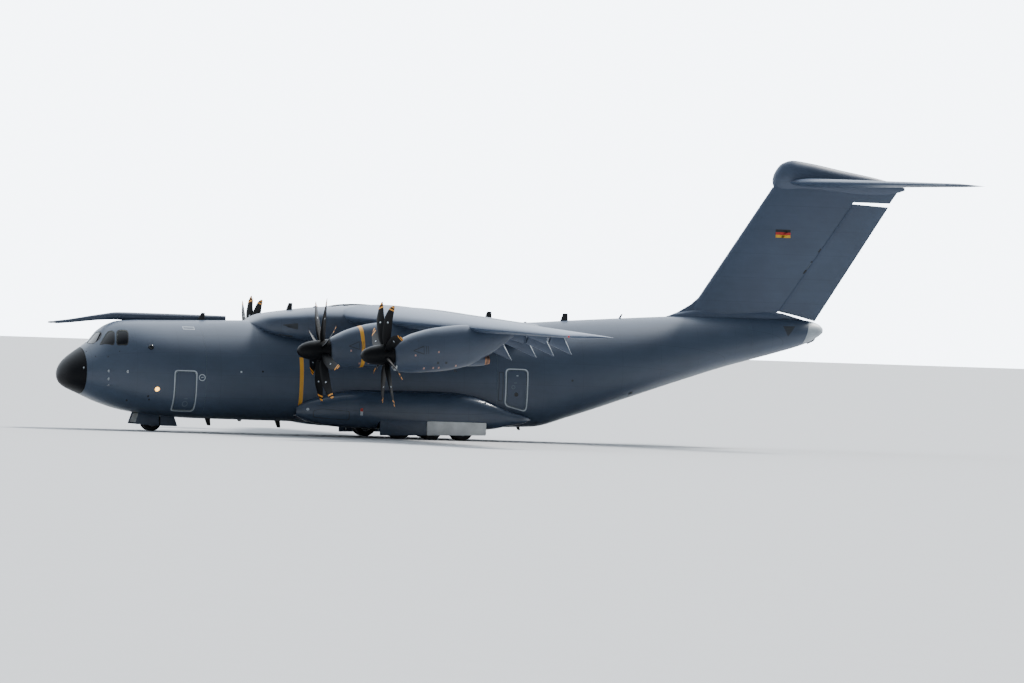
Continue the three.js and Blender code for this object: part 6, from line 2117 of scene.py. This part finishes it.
@dataclass
class NoseGear:
    """Leg, steered fork, wheels and doors of the nose gear."""

    x: float = 4.84
    top: float = 1.85
    axle_z: float = 0.47
    doors: tuple[Pair, ...] = ((3.86, 5.09), (5.17, 6.04))

    def build(self) -> None:
        """Build all parts."""
        self.build_leg()
        self.build_fork()
        self.build_doors()
        WheelPair("nose_wheels", (self.x, 0, self.axle_z), 0.47, 0.29, 0.24, 0.25, 0.05, 3).build()

    def build_leg(self) -> None:
        """The fixed leg: cylinder, collars, drag brace, trunnion and two taxi lamps."""
        x, top = self.x, self.top
        bm = bmesh.new()
        foot = 1.03
        cylinder = ((foot, 0.0), (foot, 0.095), (1.06, 0.118), (1.14, 0.118), (1.16, 0.098), (1.30, 0.098),
                    (1.32, 0.11), (1.36, 0.11), (1.38, 0.095), (1.62, 0.095), (1.66, 0.118), (top, 0.118),
                    (top, 0.0))
        turned(bm, [(z - foot, r) for z, r in cylinder], at(x, 0, foot), Vector((0, 0, 1)), 32)
        for sign in (-1, 1):
            rod(bm, at(x + 0.06, sign * 0.05, 1.36), at(x + 0.93, sign * 0.09, top - 0.1), 0.035, 0.03)
            hose = rod(bm, at(x + 0.08, sign * 0.1, 1.1), at(x + 0.1, sign * 0.1, 1.7), 0.012, sides=8)
            paint_faces(hose, 2)
        paint_faces(rod(bm, at(x + 0.93, -0.12, top - 0.1), at(x + 0.93, 0.12, top - 0.1), 0.04), 1)
        rod(bm, at(x, -0.3, top - 0.06), at(x, 0.3, top - 0.06), 0.055)
        piece("nose_leg_parts", bm, [GEAR_WHITE, STEEL, SEAL], "airframe", ["nose_leg"])
        bm = bmesh.new()
        for sign in (-1, 1):
            place = at(x - 0.10, sign * 0.13, 1.26)
            shell = turned(bm, (
                (-0.06, 0.0), (-0.06, 0.05), (-0.07, 0.055), (-0.02, 0.06), (0.05, 0.04), (0.07, 0.0)),
                place, Vector((1, 0, 0)), 24)
            paint_faces([f for f in shell if f.calc_center_median().x < place.x - size(0.055)], 1)
            rod(bm, place, at(x, sign * 0.08, 1.26), 0.02, sides=10)
        piece("taxi_lamps", bm, [GEAR_WHITE, WARM_LAMP], "airframe")

    def build_fork(self) -> None:
        """What turns with the wheels: piston, torque link, axle boss and tow lug."""
        x, z = self.x, self.axle_z
        bm = bmesh.new()
        paint_faces(rod(bm, at(x, 0, 1.015), at(x, 0, 0.66), 0.07, sides=32), 1)
        rod(bm, at(x, 0, 0.68), at(x, 0, z), 0.083, 0.08, 32)
        rod(bm, at(x, -0.08, z), at(x, 0.08, z), 0.118, sides=32)
        for sign in (-1, 1):
            plate(bm, [at(x + 0.05, sign * 0.045, 0.64), at(x + 0.19, sign * 0.03, 0.78),
                       at(x + 0.19, sign * 0.03, 0.82), at(x + 0.05, sign * 0.045, 0.93),
                       at(x + 0.05, sign * 0.045, 0.88), at(x + 0.14, sign * 0.03, 0.80),
                       at(x + 0.05, sign * 0.045, 0.70)], Vector((0, -sign * size(0.02), 0)))
        paint_faces(rod(bm, at(x + 0.165, -0.045, 0.80), at(x + 0.165, 0.045, 0.80), 0.02, sides=12), 2)
        rod(bm, at(x - 0.06, 0, z), at(x - 0.25, 0, z), 0.045, 0.035)
        paint_faces(rod(bm, at(x - 0.25, -0.048, z), at(x - 0.25, 0.048, z), 0.04, sides=16), 2)
        piece("nose_fork_parts", bm, [GEAR_WHITE, ROD_CHROME, STEEL], "nose_fork",
              ["nose_fork"])

    def build_doors(self) -> None:
        """Four doors beside the bay, longer at their feet, each with a pale inner pan."""
        for side in Side:
            for (x0, x1), label in zip(self.doors, ("front", "rear")):
                bm = bmesh.new()
                front, rear = (0.18, 0.0) if label == "front" else (0.0, 0.22)
                outline = rounded([(x0 + front, 0.92), (x1 - rear, 0.92), (x1, 0.27),
                                   (x0, 0.27 + front * 0.3)], 0.06)

                def across(z: float) -> float:
                    """How far out the outer face lies at a height."""
                    return mix(0.668, 0.768, (0.93 - z) / 0.67)

                inward = Vector((0, -side.value * size(0.028), 0))
                plate(bm, [at(x, side.value * across(z), z) for x, z in outline], inward, 0.006)
                pan = inset_outline(outline, 0.09)
                faces = plate(bm, [at(x, side.value * (across(z) - 0.026), z) for x, z in pan],
                              Vector((0, -side.value * size(0.01), 0)), 0.003)
                paint_faces(faces, 1)
                name = f"nose_door_{label}_{side.label}"
                piece(f"{name}_panel", bm, [FUSELAGE_PAINT, BAY_WHITE_AND_PAINTED_SUNLIGHT], "airframe", [name])


# Probe, antennas, lamps and cargo rails

@dataclass
class Fittings:
    """The refuelling probe and the small parts on the hull."""

    # x, height, radius
    probe: Table = Table((
        (-0.5, 5.24, 0.045), (-0.10, 5.26, 0.075), (0.30, 5.30, 0.085), (2.20, 5.58, 0.15), (3.0, 5.66, 0.19),
        (3.9, 5.64, 0.22), (6.2, 5.66, 0.20), (8.6, 5.70, 0.14)))
    probe_y: float = 0.30
    # x, foot, height, chord, lean aft
    spine: tuple[tuple[float, float, float, float, float], ...] = (
        (7.27, 5.56, 0.40, 0.34, 0.10), (11.8, 6.20, 0.40, 0.34, 0.08), (22.24, 6.08, 0.42, 0.40, 0.06),
        (26.27, 6.12, 0.42, 0.42, 0.06), (29.2, 6.36, 0.24, 0.14, 0.14), (24.2, 5.95, 0.10, 0.20, 0.02))
    belly: tuple[tuple[float, float, float, float, float], ...] = (
        (7.76, 0.72, -0.38, 0.30, 0.10), (11.38, 0.72, -0.38, 0.30, 0.10), (9.4, 0.72, -0.12, 0.26, 0.04),
        (24.0, 0.74, -0.18, 0.20, 0.08))
    # x, z, radius, finish; an air data probe stands in each of the first four
    spots: tuple[tuple[float, float, float, int], ...] = (
        (2.10, 2.93, 0.065, 0), (2.11, 2.53, 0.065, 0), (2.13, 2.23, 0.04, 0), (2.99, 2.93, 0.075, 0),
        (0.98, 3.05, 0.055, 0), (1.20, 3.86, 0.035, 1), (1.52, 3.63, 0.03, 1), (2.07, 3.63, 0.03, 1),
        (2.61, 3.92, 0.025, 1), (4.05, 1.74, 0.06, 1), (4.12, 1.58, 0.05, 1), (3.10, 1.50, 0.07, 1))

    def build(self) -> None:
        """Build all parts."""
        self.build_probe()
        self.build_antennas()
        self.build_lamps()
        self.build_rails()

    def build_probe(self) -> None:
        """The refuelling probe with its nozzle, in a fairing along the roof."""
        bm = bmesh.new()
        rings = []
        for x in [*steps(-0.10, 3.9, 30), *steps(4.1, 8.6, 20)]:
            z, r = self.probe.at(x)
            rings.append([at(x, self.probe_y + r * math.sin(a), z + r * math.cos(a)) for a in angles(24)])
        loft(bm, rings)
        tip = at(-0.5, self.probe_y, 5.24)
        nozzle = ((0.0, 0.0), (0.0, 0.03), (0.02, 0.043), (0.12, 0.045), (0.13, 0.06), (0.17, 0.06),
                  (0.18, 0.05), (0.34, 0.058), (0.36, 0.074), (0.43, 0.074), (0.43, 0.0))
        paint_faces(turned(bm, nozzle, tip, Vector((0.997, 0, 0.05)).normalized(), 24), 1)
        piece("probe_tube", bm, [PLAIN_PAINT, STEEL], "airframe", ["refuelling_probe"])

    def blade(self, bm: Mesh, x: float, foot: float, tall: float, chord: float, lean: float) -> None:
        """One blade antenna: a thin lens section, narrower and further aft at its end."""
        rings = []
        for t in (0, 0.06, 0.9, 1.0):
            wide = 0.5 * chord * mix(1.0, 0.62, t) * (0.8 if t == 1.0 else 1.0)
            thin = 0.035 * mix(1.0, 0.5, t) * (0.4 if t == 1.0 else 1.0)
            rings.append([at(x + lean * t + wide * math.cos(a), thin * math.sin(a), foot + tall * t)
                          for a in angles(16)])
        loft(bm, rings)

    def build_antennas(self) -> None:
        """Blade antennas on the spine and under the belly."""
        bm = bmesh.new()
        for row in (*self.spine, *self.belly):
            self.blade(bm, *row)
        piece("blade_antennas", bm, [ANTENNA_BLACK], "airframe")

    def dome(self, bm: Mesh, place: Vector, out: Vector, wide: float, tall: float) -> Faces:
        """A shallow dome that stands on the skin."""
        crown = ((tall * math.sin(a), wide * math.cos(a)) for a in steps(0, math.pi / 2, 6))
        return turned(bm, [(-0.02, 0.0), (-0.02, wide), *crown], place, out, 24)

    def on_hull(self, x: float, z: float, side: Side) -> tuple[Vector, Vector]:
        """A place on the hull's side and the direction out of the skin there."""
        turn = HULL.turn_at_height(x, z, side)
        place = HULL.point(x, turn)
        return place, (place - HULL.point(x, turn, 0.2)).normalized()

    def build_lamps(self) -> None:
        """Bubble windows, landing lamps, air data probes, spots on the nose and the belly beacon."""
        glass, lamps, probes, spots = (bmesh.new() for _ in range(4))
        for side in Side:
            self.dome(glass, *self.on_hull(4.14, 4.17, side), 0.14, 0.12)
            self.dome(lamps, *self.on_hull(4.45, 2.10, side), 0.12, 0.03)
            for x, z, _, _ in self.spots[:4]:
                place, out = self.on_hull(x, z, side)
                rod(probes, place, place + out * size(0.07), 0.022, 0.014, 12)
                rod(probes, place + out * size(0.06), place + out * size(0.06) - Vector((size(0.12), 0, 0)),
                    0.013, 0.008, 12)
            for x, z, radius, index in self.spots:
                paint_faces(self.dome(spots, *self.on_hull(x, z, side), radius, 0.006), index)
        piece("bubble_windows", glass, [GLASS], "airframe")
        piece("landing_lamps", lamps, [WARM_LAMP], "airframe")
        piece("air_data_probes", probes, [STEEL], "airframe")
        piece("nose_spots", spots, [MARKS_AND_PAINTED_HIGHLIGHT, SEAL], "airframe")
        bm = bmesh.new()
        self.dome(bm, at(14.2, 0, 0.69), Vector((0, 0, -1)), 0.11, 0.12)
        piece("belly_beacon", bm, [RED_LENS], "airframe")

    def build_rails(self) -> None:
        """Roller tracks on the load floor."""
        bm = bmesh.new()
        for y in (-1.3, -0.45, 0.45, 1.3):
            for sign in (-1, 1):
                edge = y + sign * 0.07
                corners = box(7.4, 24.1, edge - 0.015, edge + 0.015)
                plate(bm, [at(x, across, 1.195) for x, across in corners], Vector((0, 0, size(0.04))))
            for x in steps(7.6, 23.9, 60):
                paint_faces(rod(bm, at(x, y - 0.06, 1.215), at(x, y + 0.06, 1.215), 0.018, sides=8), 1)
        piece("cargo_roller_tracks", bm, [STEEL, ROD_CHROME], "airframe")


# Stage, light and camera

@dataclass
class Studio:
    """A pale floor, light from behind the tail and above, and the photograph's camera."""

    yaw: float = 0.302          # radians the camera is turned from the broadside view
    pitch: float = -0.004
    roll: float = 0.034
    distance: float = 400.0     # real metres to the aeroplane
    aim: Pair = (-3.393, -0.972)        # how far right of and above the picture's middle that place lies
    middle: Triple = (20.0, 0.0, 4.5)   # the place that the camera is aimed by
    drop: float = 0.44                  # how much lower the whole camera sits
    lens_mm: float = 279.2
    sensor_mm: float = 36.0
    sky_glow: Pair = (0.38, 3.8)        # the sky's light from the camera's side and from the far side
    sky_seen: float = 9.0               # how bright the sky looks to the camera itself

    def build(self) -> None:
        """Make the floor, the lights, the world and the camera."""
        self.build_floor()
        self.build_lights()
        self.build_camera()

    def build_floor(self) -> None:
        """A plain pale floor under the wheels."""
        bm = bmesh.new()
        bmesh.ops.create_grid(bm, x_segments=8, y_segments=8, size=400)
        mesh = bpy.data.meshes.new("floor")
        bm.to_mesh(mesh)
        bm.free()
        floor = bpy.data.objects.new("floor", mesh)
        bpy.context.scene.collection.objects.link(floor)
        mesh.materials.append(Finish("pale_studio_floor", "#a3a5a7", roughness=0.9, drift=0.01).material())

    def build_lights(self) -> None:
        """A key light from behind and above, a weak fill, and a sky that is brighter on the far side."""
        for name, direction, spread, strength, tint in (
                ("key", (0.65, 0.32, 0.69), 12, 9.0, (1.0, 0.98, 0.95)),
                ("fill", (-0.45, -0.80, 0.45), 60, 0.14, (0.88, 0.94, 1.0))):
            data = bpy.data.lights.new(name, "SUN")
            data.angle = math.radians(spread)
            data.energy = strength
            data.color = tint
            lamp = bpy.data.objects.new(name, data)
            lamp.rotation_euler = Vector(direction).to_track_quat("Z", "Y").to_euler()
            bpy.context.scene.collection.objects.link(lamp)
        world = bpy.data.worlds.new("studio_sky")
        world.use_nodes = True
        tree = world.node_tree
        sky = tree.nodes["Background"]
        sky.inputs["Color"].default_value = linear("#dfe8f2")
        towards = add_node(tree, "TexCoord").outputs["Generated"]
        across = add_node(tree, "SeparateXYZ", {0: towards}).outputs[1]
        glow = remap(tree, across, (-0.3, 0.6), self.sky_glow)
        seen = add_node(tree, "LightPath").outputs[0]
        strength = add_node(tree, "Mix", {"data_type": "FLOAT", 0: seen, 2: glow, 3: self.sky_seen})
        tree.links.new(strength.outputs[0], sky.inputs["Strength"])
        bpy.context.scene.world = world

    def build_camera(self) -> None:
        """The camera at the photograph's viewing angle."""
        right = Vector((math.cos(self.yaw), -math.sin(self.yaw), 0))
        level = Vector((math.sin(self.yaw), math.cos(self.yaw), 0))
        up = Vector((0, 0, 1))
        forward = level * math.cos(self.pitch) + up * math.sin(self.pitch)
        above = up * math.cos(self.pitch) - level * math.sin(self.pitch)
        real = Vector(self.middle) - right * self.aim[0] - above * self.aim[1] - forward * self.distance
        real.z -= self.drop
        side = right * math.cos(self.roll) + above * math.sin(self.roll)
        top = above * math.cos(self.roll) - right * math.sin(self.roll)
        turn = Matrix((side, top, -forward)).transposed().to_4x4()
        data = bpy.data.cameras.new("camera")
        data.lens = self.lens_mm
        data.sensor_width = self.sensor_mm
        data.clip_end = 2000
        camera = bpy.data.objects.new("camera", data)
        camera.matrix_world = Matrix.Translation(at(*real)) @ turn
        bpy.context.scene.collection.objects.link(camera)
        bpy.context.scene.camera = camera


@dataclass
class CarriedOver:
    """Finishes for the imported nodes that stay."""

    finishes: tuple[tuple[str, Finish], ...] = (
        ("propeller", BLADE_COAT), ("wheels", TYRE), ("main_gear_left", GEAR_WHITE),
        ("main_gear_right", GEAR_WHITE), ("nose_leg", GEAR_WHITE), ("nose_fork", GEAR_WHITE),
        ("door", PLAIN_PAINT), ("hold_floor", DECK), ("flight_deck", PANEL_BLACK),
        ("engine", STEEL), ("", PLAIN_PAINT),
    )

    def dress(self) -> None:
        """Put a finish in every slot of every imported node."""
        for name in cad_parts:
            made = bpy.data.objects.get(name)
            finish = next(f for word, f in self.finishes if word in name)
            for slot in made.material_slots:
                slot.material = finish.material()


def main() -> None:
    """Build every sub-assembly in order."""
    logging.basicConfig(level=logging.INFO, format="%(message)s")
    parts = [Studio(), Fuselage(), WingFairing(), Tail(), NoseGear(), Fittings()]
    for side in Side:
        parts += [Wing(side), Sponson(side), MainGear(side)]
    for hub in HUBS:
        parts += [Nacelle(hub), Propeller(hub)]
    for part in parts:
        part.build()
    CarriedOver().dress()


if __name__ == "__main__":
    main()
